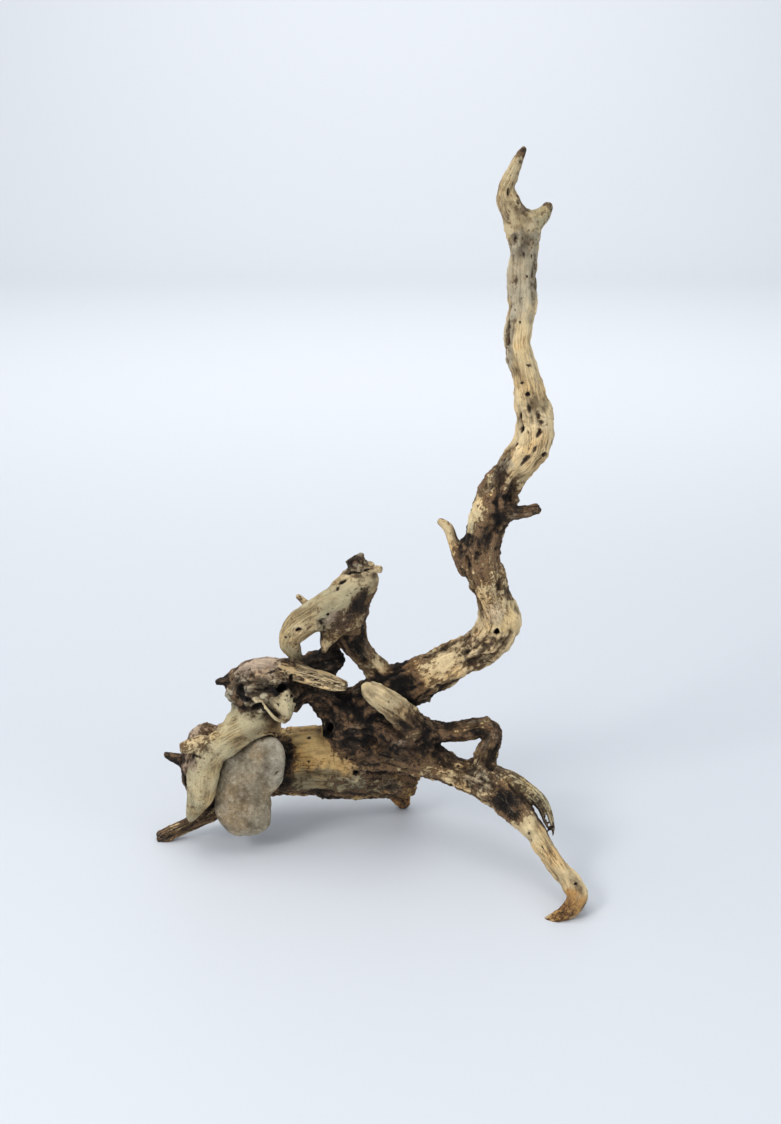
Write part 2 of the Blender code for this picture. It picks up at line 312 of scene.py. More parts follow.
class DistanceField:
    """Signed distances on a grid: negative in the wood, positive outside it."""

    REACH = 10.0           # how far outside a limb its distances are worked out
    FILLET = 2.2           # how softly limbs run into each other
    CRISP = 0.7            # the same, for fine pieces
    BAND = 3.0             # voxels on each side of the skin that the mesher needs

    def __init__(self, low: np.ndarray, high: np.ndarray, voxel: float) -> None:
        """An empty field over a box.

        Args:
            low: the box's lowest corner.
            high: its highest corner.
            voxel: the grid's spacing.
        """
        self.low = np.asarray(low, dtype=np.float64)
        self.voxel = voxel
        self.shape = tuple(int(n) for n in np.ceil((np.asarray(high) - self.low) / voxel) + 1)
        self.lines = [
            (self.low[axis] + voxel * np.arange(self.shape[axis])).astype(np.float32)
            for axis in range(3)
        ]
        self.values = np.full(self.shape, self.REACH, np.float32)

    def window(self, low: np.ndarray, high: np.ndarray) -> tuple[slice, slice, slice]:
        """The slices of the grid that cover the box from low to high."""
        first = np.clip(np.floor((low - self.low) / self.voxel).astype(int), 0, None)
        last = np.minimum(np.ceil((high - self.low) / self.voxel).astype(int) + 1, self.shape)
        return tuple(slice(int(a), int(max(a, b))) for a, b in zip(first, last))

    def limb_distance(self, course: Course) -> tuple[tuple[slice, slice, slice], np.ndarray]:
        """Distance to one limb: the least over its pieces, each a cone between two samples.

        A piece's distance is the length of the shortest way from the point to its axis, minus the radius
        there. On a squashed limb the part of that way along FACING counts for more.

        Args:
            course: the limb's course.

        Returns:
            The slices it covers, and the distances there.
        """
        room = float(course.radius.max()) + self.REACH
        whole = self.window(course.centre.min(axis=0) - room, course.centre.max(axis=0) + room)
        nearest = np.full([s.stop - s.start for s in whole], self.REACH, np.float32)
        squash = course.limb.squash
        for i in range(len(course.centre) - 1):
            start, end = course.centre[i], course.centre[i + 1]
            room = float(max(course.radius[i], course.radius[i + 1])) + self.REACH
            here = self.window(np.minimum(start, end) - room, np.maximum(start, end) + room)
            x, y, z = np.meshgrid(
                *(line[part] for line, part in zip(self.lines, here)), indexing="ij", sparse=True
            )
            way = (end - start).astype(np.float32)
            x, y, z = (w - np.float32(s) for w, s in zip((x, y, z), start))
            share = np.clip((x * way[0] + y * way[1] + z * way[2]) / (way @ way), 0, 1)
            x, y, z = (w - share * step for w, step in zip((x, y, z), way))
            away = np.sqrt(x * x + y * y + z * z)
            radius = course.radius[i] + share * (course.radius[i + 1] - course.radius[i])
            if squash < 1:
                face = unit(FACING - (FACING @ course.along[i]) * course.along[i]).astype(np.float32)
                outward = x * face[0] + y * face[1] + z * face[2]
                stretched = np.sqrt(away**2 + (1 / squash**2 - 1) * outward**2)
                distance = (stretched - radius) * away / np.maximum(stretched, 1e-3)
            else:
                distance = away - radius
            inner = tuple(slice(h.start - w.start, h.stop - w.start) for h, w in zip(here, whole))
            nearest[inner] = np.minimum(nearest[inner], distance.astype(np.float32))
        if course.limb.broken:
            nearest = np.maximum(nearest, self.break_plane(course, whole))
        return whole, nearest

    def break_plane(self, course: Course, where: tuple[slice, slice, slice]) -> np.ndarray:
        """Distance past the plane where the limb's tip broke off, a third of its radius beyond its end."""
        x, y, z = np.meshgrid(
            *(line[part] for line, part in zip(self.lines, where)), indexing="ij", sparse=True
        )
        tip, way = course.centre[-1], course.along[-1]
        past = (x - tip[0]) * way[0] + (y - tip[1]) * way[1] + (z - tip[2]) * way[2]
        return (past - 0.35 * course.radius[-1]).astype(np.float32)

    def fused(self, courses: Sequence[Course], softness: float) -> np.ndarray:
        """Blends limbs: minus softness times the log of the sum of exp(-distance / softness).

        Args:
            courses: the limbs' courses.
            softness: radius of the blend.

        Returns:
            The blended distance on the whole grid.
        """
        total = np.full(self.shape, math.exp(-self.REACH / softness), np.float32)
        for course in courses:
            where, distance = self.limb_distance(course)
            total[where] += np.exp(-distance / softness)
        return -softness * np.log(total)

    def grow(self, courses: Sequence[Course]) -> None:
        """Fills the field with the limbs, the fine ones joined on crisply.

        Args:
            courses: every limb's course.
        """
        stout = self.fused([c for c in courses if not c.limb.fine], self.FILLET)
        thin = [c for c in courses if c.limb.fine]
        if not thin:
            self.values = stout
            return
        slender = self.fused(thin, self.CRISP)
        joint = np.exp(-stout / self.CRISP) + np.exp(-slender / self.CRISP)
        self.values = -self.CRISP * np.log(joint)

    def carve(self, other: "DistanceField", gap: float) -> None:
        """Takes another field's shape away: the field is kept above the gap minus the other distance.

        Args:
            other: a field on the same grid.
            gap: room left round the other shape.
        """
        self.values = np.maximum(self.values, gap - other.values)

    def sampled(self, points: np.ndarray) -> np.ndarray:
        """The field at any points, as a three-way linear blend of the eight grid values round each.

        Args:
            points: (n, 3) places in millimetres.

        Returns:
            (n,) distances.
        """
        place = (points - self.low) / self.voxel
        place = np.clip(place, 0, np.array(self.shape) - 1.001)
        base = place.astype(np.int64)
        share = place - base
        total = np.zeros(len(points))
        for corner in np.ndindex(2, 2, 2):
            x, y, z = (base + corner).T
            weight = np.where(corner, share, 1 - share).prod(axis=1)
            total += weight * self.values[x, y, z]
        return total

    def skin(self) -> tuple[np.ndarray, np.ndarray]:
        """The surface where the field is zero.

        Returns:
            (n, 3) points in millimetres and (m, 4) corners of faces that look outwards.
        """
        band = self.BAND * self.voxel
        grid = openvdb.FloatGrid(band)
        grid.copyFromArray(np.clip(self.values, -band, band))
        points, quads = grid.convertToQuads(isovalue=0.0)
        points = points.astype(np.float64) * self.voxel + self.low
        quads = quads.astype(np.int64)
        corners = points[quads]
        facing = np.cross(corners[:, 2] - corners[:, 0], corners[:, 3] - corners[:, 1])
        if (facing * corners[:, 0]).sum() < 0:
            quads = quads[:, ::-1]
        return points, quads


# ---------------------------------------------------------------- scars and stains


class Scar(Enum):
    """What can be left in the wood's surface."""

    HOLE = "a rotted or bored hole"
    KNOT = "a grown-over branch, ringed"
    GOUGE = "a long gouge with dark sides"
    CRACK = "a thin drying crack"


@dataclass(frozen=True)
class Mark:
    """A scar at one place.

    Attributes:
        scar: its kind.
        at: its middle, on the surface.
        length: its longest size.
        width: its size across that.
        lean: angle of its length above the X axis, in degrees, as seen from the front.
        depth: how far it goes in.
        way: its direction, which replaces lean where it is given.
        through: the direction it was cut in, out of the wood.
    """

    scar: Scar
    at: Triple
    length: float
    width: float
    lean: float = 0.0
    depth: float = 1.2
    way: Triple | None = None
    through: Triple = (0.0, -0.951, 0.309)

    WANDER = 0.9           # how far a crack strays to each side
    RAGGED = 0.35          # how much a rim wavers, as a share of its size
    ROOM = 7.0             # how far along its cut a mark still reaches the surface

    def reach(self, points: np.ndarray) -> tuple[np.ndarray, np.ndarray]:
        """How far each point is from the mark's middle, in its own sizes.

        The place, without its part along the cut, is split into a part along the mark and the rest. Each
        is divided by half the mark's size that way, and their root of squares is 1 on the mark's rim. The
        rim wavers on noise, as a crack's line does.

        Args:
            points: (n, 3) places.

        Returns:
            The numbers of the points near the mark, and the distance of each, 1 on its rim.
        """
        offset = points - np.array(self.at)
        deep = offset @ np.array(self.through)
        close = np.abs(offset).max(axis=1) < self.length + self.ROOM
        near = np.flatnonzero(close & (np.abs(deep) < self.ROOM))
        offset = offset[near] - deep[near, None] * np.array(self.through)
        angle = math.radians(self.lean)
        way = np.array(self.way or (math.cos(angle), 0.0, math.sin(angle)))
        lengthways = offset @ way
        across = offset - lengthways[:, None] * way
        stray = Noise.layered(points[near], 4.0, 71, 3)
        if self.scar is Scar.CRACK:
            across += self.WANDER * stray[:, None] * unit(np.cross(way, FACING))
        wide = np.linalg.norm(across, axis=1) / (self.width / 2)
        return near, np.hypot(lengthways / (self.length / 2), wide) * (1 + self.RAGGED * stray)

    def carve(self, points: np.ndarray, height: np.ndarray, dark: np.ndarray) -> None:
        """Adds the scar to the relief and to the darkness of the points it covers.

        A hole is a steep pit with a slightly raised lip. A knot is a cosine's rings in a shallow dish
        with a swollen rim. A gouge is a bowl, and a crack a sharp valley.

        Args:
            points: (n, 3) places.
            height: (n,) relief, changed in place.
            dark: (n,) darkness, changed in place.
        """
        near, reach = self.reach(points)
        inside = 1 - eased(reach, 0.55, 1.0)
        if self.scar is Scar.HOLE:
            lip = np.exp(-(((reach - 1.15) / 0.22) ** 2))
            height[near] += 0.35 * lip - self.depth * inside
            dark[near] = np.maximum(dark[near], 1 - eased(reach, 0.35, 1.2))
        elif self.scar is Scar.KNOT:
            rings = 0.5 + 0.5 * np.cos(reach * 3.4 * math.pi)
            swell = np.exp(-(((reach - 1.0) / 0.35) ** 2))
            height[near] += 0.7 * swell - self.depth * (0.55 + 0.45 * rings) * inside
            core = 0.85 * (1 - eased(reach, 0.1, 0.45))
            shade = np.maximum(core, (0.42 - 0.3 * rings) * (1 - eased(reach, 0.95, 1.15)))
            dark[near] = np.maximum(dark[near], shade)
        else:
            height[near] -= self.depth * inside
            dark[near] = np.maximum(dark[near], 0.85 * (1 - eased(reach, 0.2, 1.15)))


class Cover(Enum):
    """What a stain changes: bark where it adds it, splits too where it bares the wood, or dark flecks."""

    BARK = "bark"
    BARE = "bare wood"
    FLECKS = "flecks"


@dataclass(frozen=True)
class Stain:
    """A soft-edged area with its own tone or cover.

    Attributes:
        what: a tone of the bare wood, or a cover.
        at: its middle.
        length: its longest size.
        width: its size across that.
        lean: angle of its length above the X axis, in degrees, as seen from the front.
        strength: 1 covers fully.
    """

    what: Tone | Cover
    at: Triple
    length: float
    width: float
    lean: float = 0.0
    strength: float = 1.0

    def share(self, points: np.ndarray, ragged: np.ndarray) -> np.ndarray:
        """How much of the stain lies at each point: 1 in the middle, fading over its ragged rim.

        Args:
            points: (n, 3) places.
            ragged: (n,) noise that pushes the rim in and out.

        Returns:
            (n,) shares.
        """
        offset = points - np.array(self.at)
        angle = math.radians(self.lean)
        way = np.array((math.cos(angle), 0.0, math.sin(angle)))
        lengthways = offset @ way
        across = np.linalg.norm(offset - lengthways[:, None] * way, axis=1)
        reach = np.hypot(lengthways / (self.length / 2), across / (self.width / 2))
        return self.strength * (1 - eased(reach + 0.3 * ragged, 0.65, 1.1))


# ---------------------------------------------------------------- node helpers


class Wiring:
    """Places and joins the nodes of one tree."""

    def __init__(self, tree: bpy.types.NodeTree) -> None:
        """Starts on a tree that may already hold nodes."""
        self.tree = tree

    def node(
        self, kind: str, inputs: dict[str | int, object] | None = None, **settings: object
    ) -> bpy.types.Node:
        """Adds a node.

        Args:
            kind: its type's identifier.
            inputs: for each input, a socket to join to it or a value to set on it.
            settings: the node's own properties.

        Returns:
            The node.
        """
        made = self.tree.nodes.new(kind)
        for name, value in settings.items():
            setattr(made, name, value)
        for name, value in (inputs or {}).items():
            self.feed(made.inputs[name], value)
        return made

    def feed(self, target: bpy.types.NodeSocket, value: object) -> None:
        """Joins a socket to an input, or sets a plain value on it."""
        if isinstance(value, bpy.types.NodeSocket):
            self.tree.links.new(value, target)
        else:
            target.default_value = value

    def math(
        self, operation: str, first: object, second: object = 0.0, clamp: bool = False
    ) -> bpy.types.NodeSocket:
        """One sum on two numbers."""
        inputs = {0: first, 1: second}
        return self.node("ShaderNodeMath", inputs, operation=operation, use_clamp=clamp).outputs[0]

    def add(self, first: object, second: object, clamp: bool = False) -> bpy.types.NodeSocket:
        """The first number plus the second."""
        return self.math("ADD", first, second, clamp)

    def minus(self, first: object, second: object) -> bpy.types.NodeSocket:
        """The first number minus the second."""
        return self.math("SUBTRACT", first, second)

    def times(self, first: object, second: object, clamp: bool = False) -> bpy.types.NodeSocket:
        """The first number times the second."""
        return self.math("MULTIPLY", first, second, clamp)

    def vector(self, operation: str, first: object, second: object) -> bpy.types.NodeSocket:
        """One sum on two vectors."""
        return self.node("ShaderNodeVectorMath", {0: first, 1: second}, operation=operation).outputs[0]

    def span(self, value: object, low: object, high: object) -> bpy.types.NodeSocket:
        """0 below low, 1 above high, eased between them."""
        inputs = {"Value": value, "From Min": low, "From Max": high}
        return self.node("ShaderNodeMapRange", inputs, interpolation_type="SMOOTHSTEP").outputs[0]

    def blend(self, share: object, first: object, second: object, mode: str = "MIX") -> bpy.types.NodeSocket:
        """A mix of two colours; the sockets 6 and 7 are the colour pair."""
        made = self.node("ShaderNodeMix", {0: share, 6: first, 7: second}, data_type="RGBA", blend_type=mode)
        return made.outputs[2]

    def noise(
        self, place: object, size: float, detail: float = 3.0, rough: float = 0.55
    ) -> bpy.types.NodeSocket:
        """Cloudy noise, from 0 to 1, whose largest features have the given size in the place's units."""
        inputs = {"Vector": place, "Scale": 1 / size, "Detail": detail, "Roughness": rough}
        return self.node("ShaderNodeTexNoise", inputs).outputs["Fac"]

    def cells(self, place: object, size: float) -> bpy.types.Node:
        """Voronoi cells of the given size in the place's units."""
        return self.node("ShaderNodeTexVoronoi", {"Vector": place, "Scale": 1 / size})

    def own(self, name: str) -> bpy.types.Node:
        """Reads one of the mesh's attributes."""
        return self.node("ShaderNodeAttribute", attribute_name=name)

    def surface(self, colour: object, rough: object, gloss: float, bump: bpy.types.Node) -> None:
        """Ends a material with a Principled shader.

        Args:
            colour: its colour.
            rough: its roughness.
            gloss: its specular level.
            bump: the node that turns its relief into normals.
        """
        values = {"Base Color": colour, "Metallic": 0.0, "Roughness": rough, "Specular IOR Level": gloss}
        shader = self.node("ShaderNodeBsdfPrincipled", values)
        self.feed(shader.inputs["Normal"], bump.outputs["Normal"])
        self.node("ShaderNodeOutputMaterial", {"Surface": shader.outputs[0]})


def blank_material(name: str) -> tuple[bpy.types.Material, Wiring]:
    """A material without any nodes, and its wiring."""
    material = bpy.data.materials.new(name)
    material.use_nodes = True
    material.node_tree.nodes.clear()
    return material, Wiring(material.node_tree)


SOCKETS = {"Float": "NodeSocketFloat", "Vector": "NodeSocketVector", "Colour": "NodeSocketColor"}


def shader_group(
    name: str, inputs: dict[str, str], outputs: dict[str, str]
) -> tuple[bpy.types.NodeTree, Wiring, bpy.types.Node, bpy.types.Node]:
    """An empty node group with named sockets.

    Args:
        name: the group's name.
        inputs: the kind of each input, by name.
        outputs: the kind of each output, by name.

    Returns:
        The group, its wiring, and its input and output nodes.
    """
    tree = bpy.data.node_groups.new(name, "ShaderNodeTree")
    for label, kind in inputs.items():
        tree.interface.new_socket(label, in_out="INPUT", socket_type=SOCKETS[kind])
    for label, kind in outputs.items():
        tree.interface.new_socket(label, in_out="OUTPUT", socket_type=SOCKETS[kind])
    wiring = Wiring(tree)
    return tree, wiring, wiring.node("NodeGroupInput"), wiring.node("NodeGroupOutput")


def grain_place(wiring: Wiring, given: bpy.types.Node) -> bpy.types.NodeSocket:
    """A group's Grain input divided by its Length along the grain and by its Width across it."""
    along = wiring.math("DIVIDE", 1.0, given.outputs["Length"])
    across = wiring.math("DIVIDE", 1.0, given.outputs["Width"])
    factors = wiring.node("ShaderNodeCombineXYZ", {0: along, 1: across, 2: across}).outputs[0]
    return wiring.vector("MULTIPLY", given.outputs["Grain"], factors)


def streak_group() -> bpy.types.NodeTree:
    """Streaks: noise on the stretched grain, which fades to even noise where two limbs meet.

    Its lines are thin and run where the streaks pass one half.

    Returns:
        The group.
    """
    tree, wiring, given, out = shader_group(
        "grain_streaks",
        {"Grain": "Vector", "Place": "Vector", "Join": "Float", "Length": "Float", "Width": "Float"},
        {"Streak": "Float", "Line": "Float"},
    )
    stretched = grain_place(wiring, given)
    detail, rough = 4.0, 0.6
    along = wiring.noise(stretched, 1.0, detail, rough)
    shrink = wiring.math("DIVIDE", 0.5, given.outputs["Width"])
    inputs = {0: given.outputs["Place"], "Scale": shrink}
    shrunk = wiring.node("ShaderNodeVectorMath", inputs, operation="SCALE")
    even = wiring.noise(shrunk.outputs[0], 1.0, detail, rough)
    mixed = wiring.node("ShaderNodeMix", {0: given.outputs["Join"], 2: along, 3: even}).outputs[0]
    wiring.feed(out.inputs["Streak"], mixed)
    from_half = wiring.math("ABSOLUTE", wiring.minus(mixed, 0.5))
    line_edge, line_core = 0.035, 0.008
    wiring.feed(out.inputs["Line"], wiring.span(from_half, line_edge, line_core))
    return tree


def dash_group() -> bpy.types.NodeTree:
    """Short dark dashes along the grain: the hearts of some Voronoi cells, chosen by their random colour.

    Returns:
        The group.
    """
    tree, wiring, given, out = shader_group(
        "dark_dashes",
        {"Grain": "Vector", "Amount": "Float", "Length": "Float", "Width": "Float"},
        {"Dash": "Float"},
    )
    stretched = grain_place(wiring, given)
    inputs = {"Vector": stretched, "Scale": 1.3, "Detail": 2.0}
    bend = wiring.node("ShaderNodeTexNoise", inputs).outputs["Color"]
    most_bend = (0.5, 0.9, 0.9)
    bent = wiring.vector("ADD", stretched, wiring.vector("MULTIPLY", bend, most_bend))
    cells = wiring.cells(bent, 1.0)
    pick = wiring.node("ShaderNodeSeparateColor", {0: cells.outputs["Color"]})
    chosen = wiring.math("LESS_THAN", pick.outputs[0], given.outputs["Amount"])
    least, more, core = 0.16, 0.22, 0.55
    size = wiring.add(least, wiring.times(pick.outputs[1], more))
    heart = wiring.span(cells.outputs["Distance"], size, wiring.times(size, core))
    wiring.feed(out.inputs["Dash"], wiring.times(chosen, heart))
    return tree


def crevice_shade_group() -> bpy.types.NodeTree:
    """Painted shade in hollows: the colour is multiplied down by how hollow the surface is.

    Returns:
        The group.
    """
    tree, wiring, given, out = shader_group(
        "painted_crevice_shade",
        {"Base": "Colour", "Hollow": "Float", "Strength": "Float", "Shade": "Colour"},
        {"Colour": "Colour"},
    )
    share = wiring.times(given.outputs["Hollow"], given.outputs["Strength"], clamp=True)
    darker = wiring.blend(share, given.outputs["Base"], given.outputs["Shade"], "MULTIPLY")
    wiring.feed(out.inputs["Colour"], darker)
    return tree


@dataclass
class Effects:
    """The shader groups that the finishes share."""

    streaks: bpy.types.NodeTree = field(default_factory=streak_group)
    dashes: bpy.types.NodeTree = field(default_factory=dash_group)
    crevice_shading: bpy.types.NodeTree = field(default_factory=crevice_shade_group)


def solid(colour: Colour, factor: float = 1.0) -> tuple[float, float, float, float]:
    """A colour with full alpha, brightened or dimmed by a factor."""
    return (colour[0] * factor, colour[1] * factor, colour[2] * factor, 1.0)


@dataclass(frozen=True)
class WoodFinish:
    """Dry wood: bare, streaked and flecked where the bark is gone, dark and rough where it stays.

    Attributes:
        bark: colour of weathered bark.
        deep_bark: colour of old bark in the crotch.
        rot_and_shade: colour inside holes and cracks.
        scratched: colour of light scratches in dark bark.
        bleached: colour of the palest, sun-bleached wood.
        cool: tint of the bare wood's cool patches.
        warm: tint of its warm patches.
        tanned: tint of the bare wood that borders on bark.
        shade_tint: tint of the painted shade in the deepest hollows.
        bare_roughness: roughness of bare wood.
        bark_roughness: roughness of bark.
        gloss: specular level of both.
        relief: height of the bump, in metres.
    """

    bark: Colour = (0.098, 0.056, 0.030)
    deep_bark: Colour = (0.020, 0.0135, 0.009)
    # rotten: colour inside holes and cracks, also of the painted shadow along bark edges and the painted
    # shade by the stone.
    rot_and_shade: Colour = (0.022, 0.013, 0.008)
    scratched: Colour = (0.23, 0.165, 0.10)
    bleached: Colour = (0.62, 0.53, 0.37)
    cool: Colour = (1.02, 1.04, 1.06)
    warm: Colour = (1.04, 0.92, 0.76)
    tanned: Colour = (0.52, 0.43, 0.35)
    shade_tint: Colour = (0.13, 0.095, 0.07)
    bare_roughness: float = 0.62
    bark_roughness: float = 0.9
    gloss: float = 0.32
    relief: float = 0.0013

    # lengths and widths of the streaks and dashes along the grain, in metres
    BROAD = (0.045, 0.0045)
    GROOVE = (0.036, 0.0026)
    THIN = (0.018, 0.0011)
    HAIR = (0.009, 0.00045)
    LONG_DASH = (0.0044, 0.0017)
    SHORT_DASH = (0.0020, 0.0011)
    # sizes of the largest features of the even noises, in metres
    CLOUD = 0.02
    WIDE = 0.012
    CRUST = 0.0028
    DOTS = 0.0011

    def make(self, effects: Effects) -> bpy.types.Material:
        """Builds the material.

        The bare tone is streaked lighter and darker along the grain, lighter on ridges from wear and darker
        in creases as painted shade. Bark covers it in ragged patches with a thin painted shadow along their
        edges, dashes and scars darken it, the painted shade by the stone among the scars, and hollows get
        painted shade. The bump adds fibres, bark and dashes.

        Args:
            effects: the shared shader groups.

        Returns:
            The material.
        """
        material, w = blank_material("dry_wood")
        place = w.node("ShaderNodeTexCoord").outputs["Object"]
        grain = w.own("grain").outputs["Vector"]
        tone = w.own("tone").outputs["Color"]
        names = ("bark", "hollow", "scar", "split", "fleck", "join", "ridge")
        bark, hollow, scar, split, fleck, join, ridge = (w.own(name).outputs["Fac"] for name in names)

        def streaks(length: float, width: float) -> bpy.types.NodeOutputs:
            """One set of streaks of that length and width, and its lines."""
            inputs = {"Grain": grain, "Place": place, "Join": join, "Length": length, "Width": width}
            return w.node("ShaderNodeGroup", inputs, node_tree=effects.streaks).outputs

        def dashes(amount: object, length: float, width: float) -> bpy.types.NodeSocket:
            """One set of dark dashes."""
            inputs = {"Grain": grain, "Amount": amount, "Length": length, "Width": width}
            return w.node("ShaderNodeGroup", inputs, node_tree=effects.dashes).outputs["Dash"]

        broad = streaks(*self.BROAD)["Streak"]
        groove, seam = streaks(*self.GROOVE).values()
        thin = streaks(*self.THIN)["Streak"]
        hair = streaks(*self.HAIR)["Streak"]
        cloud = w.noise(place, self.CLOUD, 3.0)
        crust = w.noise(place, self.CRUST, 4.0, 0.7)
        dots = w.noise(place, self.DOTS, 3.0, 0.65)
        wide = w.noise(place, self.WIDE, 5.0, 0.66)
        fibrous = w.add(w.times(w.span(cloud, 0.45, 0.62), 0.45), split, clamp=True)
        lines = w.times(seam, fibrous)

        # bare wood: the tone made uneven, tinted, and crossed by hairs, specks, bleached spots and lines
        streaked = w.add(w.add(groove, thin), w.times(broad, 0.8))
        mottled = w.add(w.add(crust, dots), w.times(broad, 0.8))
        along = w.span(split, 0.0, 0.5)
        light = w.node("ShaderNodeMix", {0: along, 2: mottled, 3: streaked}).outputs[0]
        uneven = w.minus(light, 1.4)
        # ridges painted lighter and creases darker: wear on the ridges, painted shade in the creases
        wear_and_crease_shade = w.minus(ridge, 0.5)
        light = w.add(0.20, w.times(light, 0.6))
        light = w.add(light, w.times(wear_and_crease_shade, 0.3))
        bare = w.blend(1.0, tone, light, "MULTIPLY")
        tint = w.blend(w.span(cloud, 0.42, 0.68), solid(self.cool), solid(self.warm))
        bare = w.blend(1.0, bare, tint, "MULTIPLY")
        hair_share = w.add(0.15, w.times(along, 0.4))
        hairs = w.times(w.span(hair, 0.52, 0.70), hair_share)
        bare = w.blend(hairs, bare, solid(self.bark, 1.6))
        specks = w.times(w.span(dots, 0.60, 0.68), w.span(cloud, 0.35, 0.6))
        bare = w.blend(w.times(specks, 0.55), bare, solid(self.bark, 1.2))
        bleach = w.times(w.span(crust, 0.52, 0.66), w.span(thin, 0.50, 0.40))
        bare = w.blend(w.times(bleach, 0.5), bare, solid(self.bleached))
        bare = w.blend(w.times(lines, 0.8), bare, solid(self.bark, 0.8))

        # bark: how far each place is covered, in ragged patches that reach further into hollows
        spread = w.times(w.minus(wide, 0.5), 1.5)
        spread = w.add(spread, w.times(uneven, 1.1))
        spread = w.add(spread, w.times(w.minus(crust, 0.5), 1.3))
        reach = w.add(0.5, w.times(w.span(bark, 0.0, 0.5), 0.6))
        level = w.add(bark, w.times(spread, reach))
        level = w.minus(level, w.times(wear_and_crease_shade, 0.3))
        tanned = w.blend(1.0, bare, solid(self.tanned), "MULTIPLY")
        colour = w.blend(w.span(level, 0.12, 0.44), bare, tanned)
        # bark painted lighter on ridges and darker in creases: wear and painted shade
        relief = w.add(crust, w.times(wear_and_crease_shade, 0.4))
        brown = w.blend(w.span(relief, 0.32, 0.68), solid(self.bark, 0.5), solid(self.bark, 2.6))
        colour = w.blend(w.span(level, 0.36, 0.78), colour, brown)
        deep = w.blend(w.span(relief, 0.32, 0.7), solid(self.deep_bark, 0.7), solid(self.deep_bark, 2.8))
        colour = w.blend(w.span(level, 0.74, 1.0), colour, deep)
        scratches = w.times(w.span(hair, 0.62, 0.74), w.span(cloud, 0.4, 0.6))
        scratches = w.times(scratches, w.span(level, 0.5, 0.8))
        colour = w.blend(w.times(scratches, 0.5), colour, solid(self.scratched))
        covered = w.span(level, 0.35, 0.6)
        # a thin painted shadow along the edges of the bark patches
        edge = w.span(w.math("ABSOLUTE", w.minus(level, 0.40)), 0.045, 0.01)
        edge = w.times(edge, w.span(bark, 0.12, 0.35))
        colour = w.blend(w.times(edge, 0.3), colour, solid(self.rot_and_shade, 1.8))

        # dashes, scars, and painted shade in hollows
        few = dashes(w.add(0.04, w.times(fleck, 0.5)), *self.LONG_DASH)
        many = dashes(w.times(fleck, 0.8), *self.SHORT_DASH)
        dash = w.math("MAXIMUM", few, many)
        colour = w.blend(w.times(dash, 0.6), colour, solid(self.rot_and_shade, 1.8))
        # the scar darkness also holds the painted shade by the stone and in the leg_shadow slot; it turns
        # the wood bark-brown, then near black
        frayed_scar = w.add(scar, w.times(w.minus(crust, 0.5), 0.8))
        rim = w.times(w.span(scar, 0.04, 0.2), w.span(frayed_scar, 0.42, 0.25))
        colour = w.blend(w.times(rim, 0.25), colour, solid(self.bleached))
        stained = w.times(w.span(frayed_scar, 0.25, 0.5), 0.8)
        colour = w.blend(stained, colour, solid(self.bark, 0.9))
        pit = w.span(frayed_scar, 0.45, 0.95)
        colour = w.blend(pit, colour, solid(self.rot_and_shade))
        # painted shade: the colour is darkened in hollows
        inputs = {"Base": colour, "Hollow": hollow, "Strength": 1.0, "Shade": solid(self.shade_tint)}
        shaded = w.node("ShaderNodeGroup", inputs, node_tree=effects.crevice_shading).outputs["Colour"]

        # roughness and relief
        rougher = self.bark_roughness - self.bare_roughness
        rough = w.add(self.bare_roughness, w.times(covered, rougher))
        rough = w.add(rough, w.times(thin, 0.1), clamp=True)
        height = w.times(thin, -0.8)
        crust_height = w.add(0.5, w.times(covered, 1.4))
        for part, share in (
            (hair, -0.4),
            (w.times(groove, along), 1.6),
            (lines, -0.6),
            (crust, crust_height),
            (dash, -1.0),
            (dots, 0.35),
            (edge, -0.6),
            (pit, -1.0),
        ):
            height = w.add(height, w.times(part, share))
        bump = w.node("ShaderNodeBump", {"Height": height, "Strength": 1.0, "Distance": self.relief})
        w.surface(shaded, rough, self.gloss, bump)
        return material


